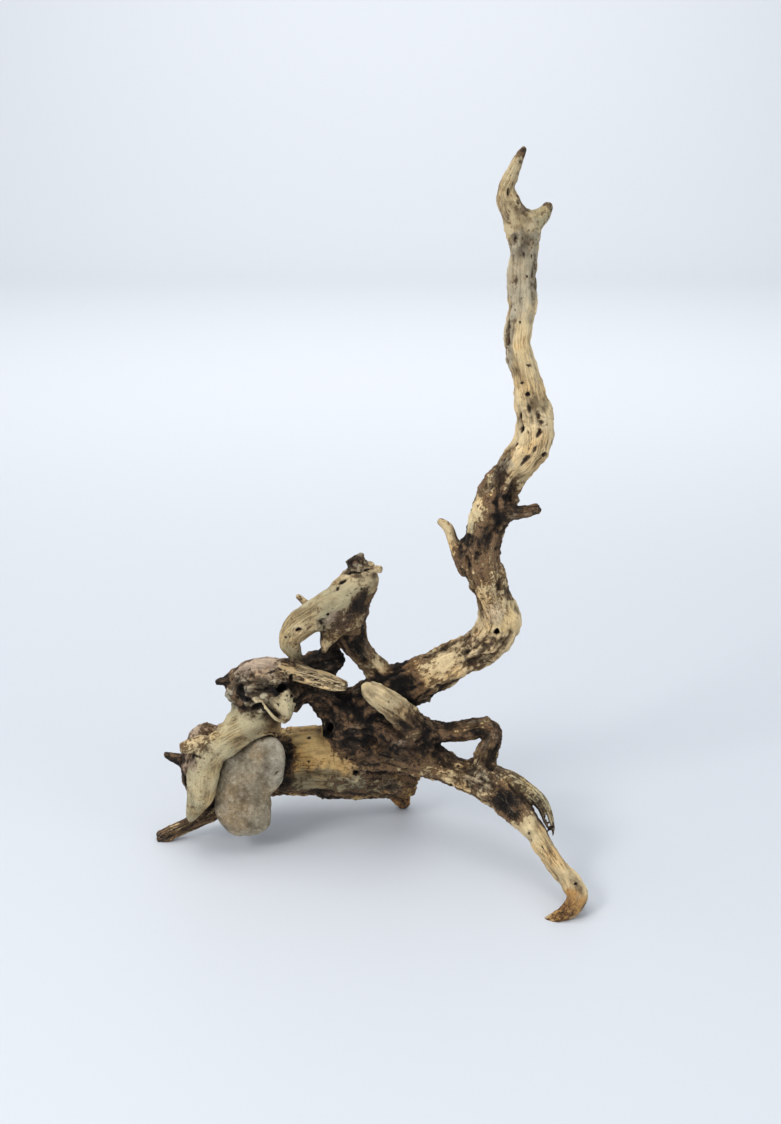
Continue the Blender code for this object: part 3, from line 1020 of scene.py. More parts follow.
@dataclass(frozen=True)
class StoneFinish:
    """A fine-grained river stone: grey-brown, evenly speckled, with ochre patches and a paler rim that is a
    painted highlight.

    Attributes:
        body: main colour.
        light: colour of light grains.
        dark: colour of dark grains.
        ochre: colour of iron stains.
        rim: colour of the paler rim, a painted highlight.
        shade_tint: tint of the painted shade in the deepest hollows and along the wood.
        roughness: roughness of the whole.
        gloss: its specular level.
        relief: height of the bump, in metres.
    """

    body: Colour = (0.275, 0.225, 0.150)
    light: Colour = (0.53, 0.465, 0.345)
    dark: Colour = (0.085, 0.066, 0.043)
    ochre: Colour = (0.33, 0.22, 0.105)
    rim: Colour = (0.42, 0.385, 0.305)
    shade_tint: Colour = (0.22, 0.185, 0.14)
    roughness: float = 0.86
    gloss: float = 0.5
    relief: float = 0.0008

    # sizes of the largest features of its noises, in metres
    CLOUD = 0.017
    GRAINS = 0.0030
    PORES = 0.0008

    def make(self, effects: Effects) -> bpy.types.Material:
        """Builds the material: two sizes of speckle over cloudy patches, then the paler rim, a painted
        highlight, then painted shade in hollows.

        Args:
            effects: the shared shader groups.

        Returns:
            The material.
        """
        material, w = blank_material("river_stone")
        place = w.node("ShaderNodeTexCoord").outputs["Object"]
        pale_rim, hollow = (w.own(name).outputs["Fac"] for name in ("pale_rim", "hollow"))
        cloud = w.noise(place, self.CLOUD, 4.0)
        fine = w.noise(place, self.GRAINS, 5.0, 0.85)
        pores = w.noise(place, self.PORES, 2.0, 0.6)
        colour = solid(self.body)
        for mask, share, over in (
            (w.span(cloud, 0.42, 0.66), 0.6, solid(self.ochre)),
            (w.span(fine, 0.50, 0.66), 0.8, solid(self.light)),
            (w.span(fine, 0.48, 0.32), 0.75, solid(self.dark)),
            (w.span(pores, 0.60, 0.74), 0.5, solid(self.dark, 0.8)),
            # the paler rim: a painted highlight on the upper right, and paler towards the bottom
            (w.times(pale_rim, w.span(fine, 0.25, 0.6)), 0.8, solid(self.rim)),
        ):
            colour = w.blend(w.times(mask, share), colour, over)
        # painted shade: the colour is darkened in hollows and along the wood
        inputs = {"Base": colour, "Hollow": hollow, "Strength": 1.0, "Shade": solid(self.shade_tint)}
        shaded = w.node("ShaderNodeGroup", inputs, node_tree=effects.crevice_shading).outputs["Colour"]
        height = w.add(fine, w.times(pores, 0.8))
        bump = w.node("ShaderNodeBump", {"Height": height, "Strength": 0.9, "Distance": self.relief})
        w.surface(shaded, self.roughness, self.gloss, bump)
        return material


# ---------------------------------------------------------------- the root


@dataclass(frozen=True)
class Survey:
    """What each point of the skin takes from the limbs near it.

    Attributes:
        grain: (n, 3) length along the nearest limb, then the two offsets from its curve.
        join: (n,) 1 where two limbs are equally near, 0 away from there.
        bark: (n,) share of bark.
        radius: (n,) radius of the nearest limb there.
        relief: (n, 4) heights of lumps, flutes, gnarls and splits.
        tone: (n, 3) colour of bare wood.
    """

    grain: np.ndarray
    join: np.ndarray
    bark: np.ndarray
    radius: np.ndarray
    relief: np.ndarray
    tone: np.ndarray

    REACH = 14.0           # limbs further than this from a point don't count for it
    SOFTNESS = 1.6         # distance over which one limb's looks give way to the next one's
    APART = 300.0          # keeps the grain patterns of different limbs unrelated

    @classmethod
    def of(cls, points: np.ndarray, courses: Sequence[Course]) -> "Survey":
        """Measures every point against every limb near it.

        For each limb, the nearest sample is the one with the least distance minus radius, its depth. Looks
        are a mean over limbs, weighted by exp(-depth / softness), and the grain is the nearest limb's.

        Args:
            points: (n, 3) places.
            courses: every limb's course.

        Returns:
            The survey.
        """
        count = len(points)
        least = np.full(count, np.inf)
        second = np.full(count, np.inf)
        grain = np.zeros((count, 3))
        radius = np.zeros(count)
        found = []
        for number, course in enumerate(courses):
            low = course.centre.min(axis=0) - course.radius.max() - cls.REACH
            high = course.centre.max(axis=0) + course.radius.max() + cls.REACH
            near = np.flatnonzero(((points > low) & (points < high)).all(axis=1))
            here = points[near]
            squares = (here**2).sum(axis=1)[:, None] + (course.centre**2).sum(axis=1)
            away = np.sqrt(np.maximum(squares - 2 * here @ course.centre.T, 0))
            depths = away - course.radius
            best = depths.argmin(axis=1)
            depth = depths[np.arange(len(near)), best]
            offset = here - course.centre[best]
            own = np.stack(
                [
                    course.arc[best] + (offset * course.along[best]).sum(axis=1) + number * cls.APART,
                    (offset * course.side[best]).sum(axis=1),
                    (offset * course.out[best]).sum(axis=1),
                ],
                axis=1,
            )
            wins = depth < least[near]
            second[near] = np.where(wins, least[near], np.minimum(second[near], depth))
            least[near[wins]] = depth[wins]
            grain[near[wins]] = own[wins]
            radius[near[wins]] = course.radius[best][wins]
            found.append((course, near, depth, course.bark[best]))
        total = np.zeros(count)
        bark = np.zeros(count)
        relief = np.zeros((count, 4))
        tone = np.zeros((count, 3))
        for course, near, depth, share in found:
            weight = np.exp(-(depth - least[near]) / cls.SOFTNESS)
            total[near] += weight
            bark[near] += weight * share
            relief[near] += weight[:, None] * np.array(course.limb.surface.value)
            tone[near] += weight[:, None] * np.array(course.limb.tone.value)
        join = np.exp(-(second - least) / cls.SOFTNESS)
        total = total[:, None]
        return cls(grain, join, bark / total[:, 0], radius, relief / total, tone / total)


def point_normals(points: np.ndarray, quads: np.ndarray) -> np.ndarray:
    """Unit normals at the points: the mean of the crossed diagonals of the faces round each.

    Args:
        points: (n, 3) places.
        quads: (m, 4) corners.

    Returns:
        (n, 3) unit vectors.
    """
    corners = points[quads]
    facing = np.cross(corners[:, 2] - corners[:, 0], corners[:, 3] - corners[:, 1])
    return unit(
        np.stack(
            [
                np.bincount(quads.ravel(), np.repeat(facing[:, axis], 4), minlength=len(points))
                for axis in range(3)
            ],
            axis=1,
        )
    )


def make_mesh(
    name: str, points: np.ndarray, quads: np.ndarray, looks: dict[str, np.ndarray]
) -> bpy.types.Object:
    """An object whose mesh carries one attribute for each of its looks.

    Args:
        name: the object's name.
        points: (n, 3) places in millimetres.
        quads: (m, 4) corners of its faces.
        looks: (n,) numbers, or (n, 3) vectors or colours, by attribute name.

    Returns:
        The object, in the scene.
    """
    mesh = bpy.data.meshes.new(name)
    mesh.vertices.add(len(points))
    mesh.vertices.foreach_set("co", (points * MM).astype(np.float32).ravel())
    mesh.loops.add(quads.size)
    mesh.loops.foreach_set("vertex_index", quads.astype(np.int32).ravel())
    mesh.polygons.add(len(quads))
    mesh.polygons.foreach_set("loop_start", np.arange(0, quads.size, 4, dtype=np.int32))
    mesh.update(calc_edges=True)
    for label, values in looks.items():
        flat = values.astype(np.float32)
        if values.ndim == 1:
            mesh.attributes.new(label, "FLOAT", "POINT").data.foreach_set("value", flat)
        else:
            mesh.attributes.new(label, "FLOAT_VECTOR", "POINT").data.foreach_set("vector", flat.ravel())
    made = bpy.data.objects.new(name, mesh)
    bpy.context.scene.collection.objects.link(made)
    return made


def drop_specks(mesh: bpy.types.Mesh) -> None:
    """Deletes every island of the mesh but the largest.

    Args:
        mesh: the mesh.
    """
    shape = bmesh.new()
    shape.from_mesh(mesh)
    waiting = set(shape.verts)
    islands = []
    while waiting:
        island = [waiting.pop()]
        for point in island:
            fresh = {edge.other_vert(point) for edge in point.link_edges} & waiting
            waiting -= fresh
            island.extend(fresh)
        islands.append(island)
    islands.sort(key=len)
    specks = [point for island in islands[:-1] for point in island]
    bmesh.ops.delete(shape, geom=specks, context="VERTS")
    shape.to_mesh(mesh)
    shape.free()


def finish_mesh(made: bpy.types.Object, most_triangles: int) -> None:
    """Thins the mesh where it is over its limit, drops loose specks from it then, and shades it smooth.

    Args:
        made: the object.
        most_triangles: its limit.
    """
    triangles = 2 * len(made.data.polygons)
    if triangles > most_triangles:
        thin = made.modifiers.new("fewer_triangles", "DECIMATE")
        thin.ratio = most_triangles / triangles
        evaluated = made.evaluated_get(bpy.context.evaluated_depsgraph_get())
        rough = made.data
        made.data = bpy.data.meshes.new_from_object(evaluated)
        made.modifiers.clear()
        bpy.data.meshes.remove(rough)
        drop_specks(made.data)
    made.data.polygons.foreach_set("use_smooth", np.ones(len(made.data.polygons), bool))
    log.info("%s: %d faces, %d points", made.name, len(made.data.polygons), len(made.data.vertices))


@dataclass
class DryRoot:
    """The root: one skin over all its limbs, carved and weathered.

    Attributes:
        limbs: its limbs.
        cavities: rotted hollows, laid out as limbs of empty space.
        marks: scars placed one by one.
        stains: tones and covers placed one by one.
        voxel: spacing of the grid that its skin is taken from.
        step: spacing of the samples along its limbs.
        gap: room round the stone in its socket.
        most_triangles: limit of its mesh.
        scattered: how many more small scars are spread over it.
        seed: chooses where they fall.
    """

    limbs: Sequence[Limb]
    cavities: Sequence[Limb]
    marks: Sequence[Mark]
    stains: Sequence[Stain]
    voxel: float = 1.0
    step: float = 3.0
    gap: float = 0.5
    most_triangles: int = 196_000
    scattered: int = 150
    seed: int = 7

    # the small scars: below each share lies its kind, holes take the rest, and the front skips some
    KNOTS = 0.18
    GOUGES = 0.45
    CRACKS = 0.72
    SKIPPED = 0.65

    FULL_THICKNESS = 12.0  # radius of a limb that takes its full lumps and flutes
    MARGIN = 8.0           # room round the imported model's box for the grid
    STONE_CALM = 3.0       # relief fades out this near the stone
    STONE_SHADE = 1.5      # painted shade reaches this far from the stone

    def build(self, low: np.ndarray, high: np.ndarray, stone: Sequence[Course]) -> bpy.types.Object:
        """Builds the root's mesh with all its looks.

        Args:
            low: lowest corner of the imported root.
            high: its highest corner.
            stone: courses of the stone that it grips.

        Returns:
            The object.
        """
        courses = [Course.of(limb, self.step) for limb in self.limbs]
        box = (low - self.MARGIN, high + self.MARGIN, self.voxel)
        wood, held, rotted = DistanceField(*box), DistanceField(*box), DistanceField(*box)
        wood.grow(courses)
        held.values = held.fused(stone, held.FILLET)
        rotted.values = rotted.fused([Course.of(limb, self.step) for limb in self.cavities], 1.0)
        wood.carve(rotted, 0.0)
        wood.carve(held, self.gap)
        points, quads = wood.skin()
        normals = point_normals(points, quads)
        survey = Survey.of(points, courses)
        height, dark = self.weather(points, survey, courses)
        # the wood round each cavity is darkened; round the leg_shadow slot this is painted shadow
        dark = np.maximum(dark, 1 - eased(rotted.sampled(points), 0.3, 1.4))
        from_stone = held.sampled(points) - self.gap
        # painted shade: the wood next to the stone is darkened through the scar darkness
        dark = np.maximum(dark, 0.9 * (1 - eased(from_stone, 0.2, self.STONE_SHADE)))
        calm = eased(from_stone, 0.3, self.STONE_CALM)
        moved = points + normals * (height * calm)[:, None]
        moved[:, 2] = np.maximum(moved[:, 2], low[2] + FLAT_FOOT)
        looks = self.looks(points, normals, survey, wood, height, dark)
        root = make_mesh("gnarled_root", moved, quads, looks)
        finish_mesh(root, self.most_triangles)
        return root

    def weather(
        self, points: np.ndarray, survey: Survey, courses: Sequence[Course]
    ) -> tuple[np.ndarray, np.ndarray]:
        """The relief of the wood's surface.

        Lumps are even noise, and gnarls creased noise. Flutes are creased noise drawn out along the grain.
        Splits are thin valleys where finer noise of that kind is nearly zero, in some areas only. Bark adds
        its own roughness. Then each scar is carved.

        Args:
            points: (n, 3) places.
            survey: what they take from the limbs.
            courses: the limbs' courses.

        Returns:
            (n,) heights along the normals, and (n,) darkness of scars.
        """
        lumps, flutes, gnarls, splits = survey.relief.T
        thick = np.clip(survey.radius / self.FULL_THICKNESS, 0.25, 1.2)
        whole = 1 - survey.join
        height = lumps * thick * Noise.layered(points, 17.0, 1, 3)
        flute = Noise.creased(survey.grain, (58.0, 8.5, 8.5), 11, 2)
        height += flutes * thick * whole * (2.2 * flute - 0.7)
        gnarl = Noise.creased(points, 11.0, 21, 4)
        height += gnarls * np.minimum(thick, 1) * (2.6 * gnarl - 0.9)
        seam = Noise.creased(survey.grain, (44.0, 4.2, 4.2), 31, 2)
        where = eased(Noise.layered(points, 22.0, 35, 2) + splits, 0.3, 0.8)
        split = splits * whole * where * (1 - eased(seam, 0.02, 0.12))
        height -= 1.1 * split
        crust = Noise.creased(points, 6.5, 41, 3)
        height += survey.bark * np.minimum(thick, 1) * (1.9 * crust - 0.6)
        dark = 0.55 * np.clip(1.6 * split, 0, 1)
        for mark in [*self.marks, *self.small_marks(courses)]:
            mark.carve(points, height, dark)
        return height, dark

    def small_marks(self, courses: Sequence[Course]) -> list[Mark]:
        """Small scars spread over the limbs, fewer on the front where the large ones are listed.

        Args:
            courses: the limbs' courses.

        Returns:
            The scars.
        """
        chance = np.random.default_rng(self.seed)
        stout = [course for course in courses if course.radius.mean() > 5]
        area = np.array([course.arc[-1] * course.radius.mean() for course in stout])
        made = []
        while len(made) < self.scattered:
            course = stout[chance.choice(len(stout), p=area / area.sum())]
            i = chance.integers(len(course.centre))
            turn = chance.uniform(0, 2 * math.pi)
            outward = math.cos(turn) * course.side[i] + math.sin(turn) * course.out[i]
            size, keep, kind = chance.random(3)
            if outward @ FACING > 0.2 and keep < self.SKIPPED:
                continue
            at = tuple(course.centre[i] + course.radius[i] * outward)
            room = course.radius[i] * (0.4 + 0.6 * size)
            if kind < self.KNOTS:
                scar, length, width, depth = Scar.KNOT, 0.9 * room, 0.65 * room, 0.6
            elif kind < self.GOUGES:
                scar, length, width, depth = Scar.GOUGE, 1.1 * room, 0.16 * room + 0.8, 0.8
            elif kind < self.CRACKS:
                scar, length, width, depth = Scar.CRACK, 2.0 * room, 1.3, 0.7
            else:
                scar, length, width, depth = Scar.HOLE, 2.4, 1.9, 1.2
            way, through = tuple(course.along[i]), tuple(outward)
            made.append(Mark(scar, at, length, width, depth=depth, way=way, through=through))
        return made

    def looks(
        self,
        points: np.ndarray,
        normals: np.ndarray,
        survey: Survey,
        wood: DistanceField,
        height: np.ndarray,
        dark: np.ndarray,
    ) -> dict[str, np.ndarray]:
        """The attributes that the wood finish reads.

        Hollow compares the field a little way out with how far out it is: in the open both are the same,
        and in a hollow the field stays low. Low relief counts as hollow too. The finish darkens hollows by
        it as painted shade, and by ridge it paints ridges lighter from wear and creases darker as painted
        shade.

        Args:
            points: (n, 3) places before the relief.
            normals: (n, 3) unit vectors.
            survey: what the points take from the limbs.
            wood: the distance field.
            height: (n,) relief.
            dark: (n,) darkness of scars and cavities, with the painted shade by the stone and in the
                leg_shadow slot.

        Returns:
            Each attribute's values by its name.
        """
        ragged = Noise.layered(points, 8.0, 51, 3)
        tone = survey.tone * (1 + 0.10 * Noise.layered(points, 30.0, 61, 2)[:, None])
        bark = survey.bark.copy()
        fleck = np.full(len(points), 0.04)
        split = survey.relief[:, 3].copy()
        for stain in self.stains:
            share = stain.share(points, ragged)
            if stain.what is Cover.BARK:
                bark += (1 - bark) * share
            elif stain.what is Cover.BARE:
                bark *= 1 - share
                split *= 1 - share
            elif stain.what is Cover.FLECKS:
                fleck = np.maximum(fleck, share)
            else:
                tone += (np.array(stain.what.value) - tone) * share[:, None]
        # how hollow each point is; the finish paints shade into the hollows by this
        hollow = np.zeros(len(points))
        for out, weight in ((3.0, 0.5), (8.0, 0.6)):
            open_air = wood.sampled(points + normals * out) / out
            hollow += weight * np.clip(1 - open_air, 0, 1)
        hollow = np.clip(1.25 * hollow - 0.06 + 0.45 * np.clip(-height, 0, 1.5), 0, 1)
        return {
            "grain": survey.grain * MM,
            "join": survey.join,
            "bark": bark,
            "hollow": hollow,
            "scar": dark,
            "split": split,
            "fleck": fleck,
            "ridge": np.clip(0.5 + 0.42 * height, 0, 1),
            "tone": tone,
        }


# ---------------------------------------------------------------- the stone


@dataclass
class RiverStone:
    """The flat stone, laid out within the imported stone's box.

    Attributes:
        low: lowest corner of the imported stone.
        high: its highest corner.
        voxel: spacing of the grid that its skin is taken from.
        step: spacing of the samples along its limbs.
    """

    low: np.ndarray
    high: np.ndarray
    voxel: float = 0.55
    step: float = 2.0

    SQUASH = 0.42          # its thickness as a share of its width
    FACE = 6.4             # how far its flat face stands out from its middle
    MARGIN = 4.0
    SHADE = 4.2            # painted shade reaches this far from the wood
    WOOD_VOXEL = 1.0       # grid spacing of the wood that the painted shade is measured from
    MOST_TRIANGLES = 190_000

    def limbs(self) -> list[Limb]:
        """The stone's own limbs: its tapering body, and the bulges that give it its outline.

        Returns:
            The limbs, in millimetres.
        """
        depth = (self.low[1] + self.high[1]) / 2
        left, base = self.low[0], self.low[2]

        def station(x: float, z: float, radius: float) -> tuple[float, float, float, float, float]:
            """A station so far right of the box's left side and above its base."""
            return (left + x, depth, base + z, radius, 0.0)

        shapes = {
            "cobble": [station(27, 54, 22), station(20, 38, 20), station(18, 24, 19.5)],
            "shoulder": [station(28, 54, 18), station(36, 60, 12.5)],
            "corner": [station(29, 58, 15), station(38, 66, 9.5)],
            "hip": [station(27, 54, 18), station(35, 45, 10.2)],
            "heel": [station(18, 23, 18), station(11.5, 11.5, 9.5)],
            "sole": [station(17, 15, 14.5), station(22, 13.5, 13.2)],
            "toe": [station(18, 22, 18), station(27, 11.5, 10.3)],
        }
        return [Limb(name, shape, Surface.SMOOTH, squash=self.SQUASH) for name, shape in shapes.items()]

    def courses(self) -> list[Course]:
        """The courses of its limbs."""
        return [Course.of(limb, self.step) for limb in self.limbs()]

    def build(self, grip: Sequence[Course]) -> bpy.types.Object:
        """Builds the stone: low noise for its water-smoothed face, and a chipped groove on its right.

        Its broad face is flat: the field is the soft maximum of the limbs and of the distance past a plane.
        Painted shade darkens it along the wood that grips it.

        Args:
            grip: courses of the limbs that lap over it.

        Returns:
            The object.
        """
        grid = DistanceField(self.low - self.MARGIN, self.high + self.MARGIN, self.voxel)
        grid.values = grid.fused(self.courses(), grid.FILLET)
        middle = (self.low + self.high) / 2
        x, y, z = np.meshgrid(*grid.lines, indexing="ij", sparse=True)
        outward = (x - middle[0]) * FACING[0] + (y - middle[1]) * FACING[1] + (z - middle[2]) * FACING[2]
        face = (outward - self.FACE).astype(np.float32)
        grid.values = np.logaddexp(grid.values, face, dtype=np.float32)
        points, quads = grid.skin()
        normals = point_normals(points, quads)
        height = 0.75 * Noise.layered(points, 13.0, 81, 4) - 0.25
        height += 0.20 * Noise.layered(points, 2.6, 91, 3)
        right, top = self.high[0], self.high[2]
        chip = Mark(Scar.GOUGE, (right - 5.5, self.low[1] + 6, top - 27), 10, 1.5, 55, 0.8)
        dark = np.zeros(len(points))
        chip.carve(points, height, dark)
        wood = DistanceField(self.low - self.MARGIN, self.high + self.MARGIN, self.WOOD_VOXEL)
        wood.values = wood.fused(grip, wood.FILLET)
        # painted shade on the stone along the wood that grips it
        dark = np.maximum(dark, 1.5 * (1 - eased(wood.sampled(points), 0.3, self.SHADE)))
        moved = points + normals * height[:, None]
        # painted highlight: the upper right rim is made paler; the stone is also made paler towards its
        # bottom
        pale_rim = eased(points[:, 0], right - 17, right - 6) * eased(points[:, 2], top - 45, top - 30)
        pale_rim += 0.5 * eased(points[:, 2], self.low[2] + 9, self.low[2] + 2)
        # hollow: painted shade from low relief, the chip's darkness and the wood nearby
        hollow = np.clip(0.6 * dark - 0.8 * height, 0, 1)
        made = make_mesh("held_stone", moved, quads, {"pale_rim": np.clip(pale_rim, 0, 1), "hollow": hollow})
        finish_mesh(made, self.MOST_TRIANGLES)
        return made


# ---------------------------------------------------------------- the studio


@dataclass(frozen=True)
class Softbox:
    """A square light.

    Attributes:
        name: its name.
        at: where it stands, in metres.
        aim: what it is turned towards, in metres.
        size: its side, in metres.
        power: its power in watts.
        colour: its colour.
    """

    name: str
    at: Triple
    aim: Triple
    size: float
    power: float
    colour: Colour = (1.0, 1.0, 1.0)

    def hang(self) -> None:
        """Adds the light to the scene."""
        lamp = bpy.data.lights.new(self.name, "AREA")
        lamp.shape = "SQUARE"
        lamp.size = self.size
        lamp.energy = self.power
        lamp.color = self.colour
        made = bpy.data.objects.new(self.name, lamp)
        made.location = self.at
        made.rotation_euler = (Vector(self.aim) - made.location).to_track_quat("-Z", "Y").to_euler()
        bpy.context.scene.collection.objects.link(made)


@dataclass
class Studio:
    """A pale seamless floor, soft light and the camera.

    Attributes:
        aim: the point the camera looks at, in metres.
        distance: how far from it the camera stands, in metres.
        elevation: how far above it, in degrees.
        lens: focal length over the long side of a 36 mm frame.
        floor_colour: colour of the floor and backdrop.
    """

    aim: Triple = (0.020, 0.002, 0.225)
    distance: float = 1.018
    elevation: float = 18.0
    lens: float = 48.04
    floor_colour: Colour = (0.60, 0.62, 0.66)

    WIDTH = 9.0
    FRONT = -2.5
    BACK = 3.2
    SWEEP = 1.2            # radius of the curve between floor and backdrop
    TOP = 3.5
    FLOOR_ROUGHNESS = 0.55
    SURROUNDINGS = (0.89, 0.95, 1.0, 1.0)
    SURROUNDINGS_STRENGTH = 0.74
    SENSOR = 36.0          # width of the camera's film, in millimetres

    def floor(self) -> bpy.types.Object:
        """The floor: a straight run, a quarter circle and a wall, drawn out sideways.

        Returns:
            The floor.
        """
        turn = np.linspace(0, math.pi / 2, 25)
        y = np.concatenate([[self.FRONT], self.BACK + self.SWEEP * np.sin(turn), [self.BACK + self.SWEEP]])
        z = np.concatenate([[0.0], self.SWEEP * (1 - np.cos(turn)), [self.TOP]])
        sides = np.array([-self.WIDTH / 2, self.WIDTH / 2])
        across = np.repeat(sides, len(y))
        points = np.stack([across, np.tile(y, 2), np.tile(z, 2)], axis=1)
        first = np.arange(len(y) - 1)
        quads = np.stack([first, first + len(y), first + len(y) + 1, first + 1], axis=1)
        made = make_mesh("floor_sweep", points / MM, quads, {})
        made.data.polygons.foreach_set("use_smooth", np.ones(len(quads), bool))
        material = bpy.data.materials.new("pale_floor")
        material.use_nodes = True
        shader = material.node_tree.nodes["Principled BSDF"]
        shader.inputs["Base Color"].default_value = (*self.floor_colour, 1.0)
        shader.inputs["Roughness"].default_value = self.FLOOR_ROUGHNESS
        made.data.materials.append(material)
        return made

    def light(self) -> None:
        """Hangs the softboxes over the root and the backdrop, and lights the surroundings evenly."""
        root, wall = (0.0, 0.0, 0.25), (0.0, self.BACK + self.SWEEP, 0.8)
        for box in (
            Softbox("overhead", (-0.3, 0.0, 1.8), root, 1.3, 14.0, (1.0, 0.99, 0.97)),
            Softbox("front_left", (-1.3, -1.4, 1.5), root, 0.7, 24.0, (1.0, 0.98, 0.95)),
            Softbox("front_right", (1.6, -1.1, 0.9), root, 0.9, 5.0, (0.93, 0.97, 1.0)),
            Softbox("backdrop", (0.0, 1.9, 2.5), wall, 3.0, 70.0, (1.0, 0.98, 0.94)),
        ):
            box.hang()
        world = bpy.data.worlds.new("soft_surroundings")
        world.use_nodes = True
        background = world.node_tree.nodes["Background"]
        background.inputs["Color"].default_value = self.SURROUNDINGS
        background.inputs["Strength"].default_value = self.SURROUNDINGS_STRENGTH
        bpy.context.scene.world = world
        bpy.context.scene.view_settings.view_transform = "Standard"

    def camera(self) -> None:
        """Stands the camera in front of the root, a little above it."""
        lens = bpy.data.cameras.new("front_view")
        lens.lens = self.lens
        lens.sensor_width = self.SENSOR
        made = bpy.data.objects.new("front_view", lens)
        up = math.radians(self.elevation)
        aim = Vector(self.aim)
        made.location = aim + self.distance * Vector((0, -math.cos(up), math.sin(up)))
        made.rotation_euler = (aim - made.location).to_track_quat("-Z", "Y").to_euler()
        bpy.context.scene.collection.objects.link(made)
        bpy.context.scene.camera = made


# ---------------------------------------------------------------- this root's own limbs and marks

BAND_SQUASH = 0.8      # the lip that laps over the stone is flatter than round

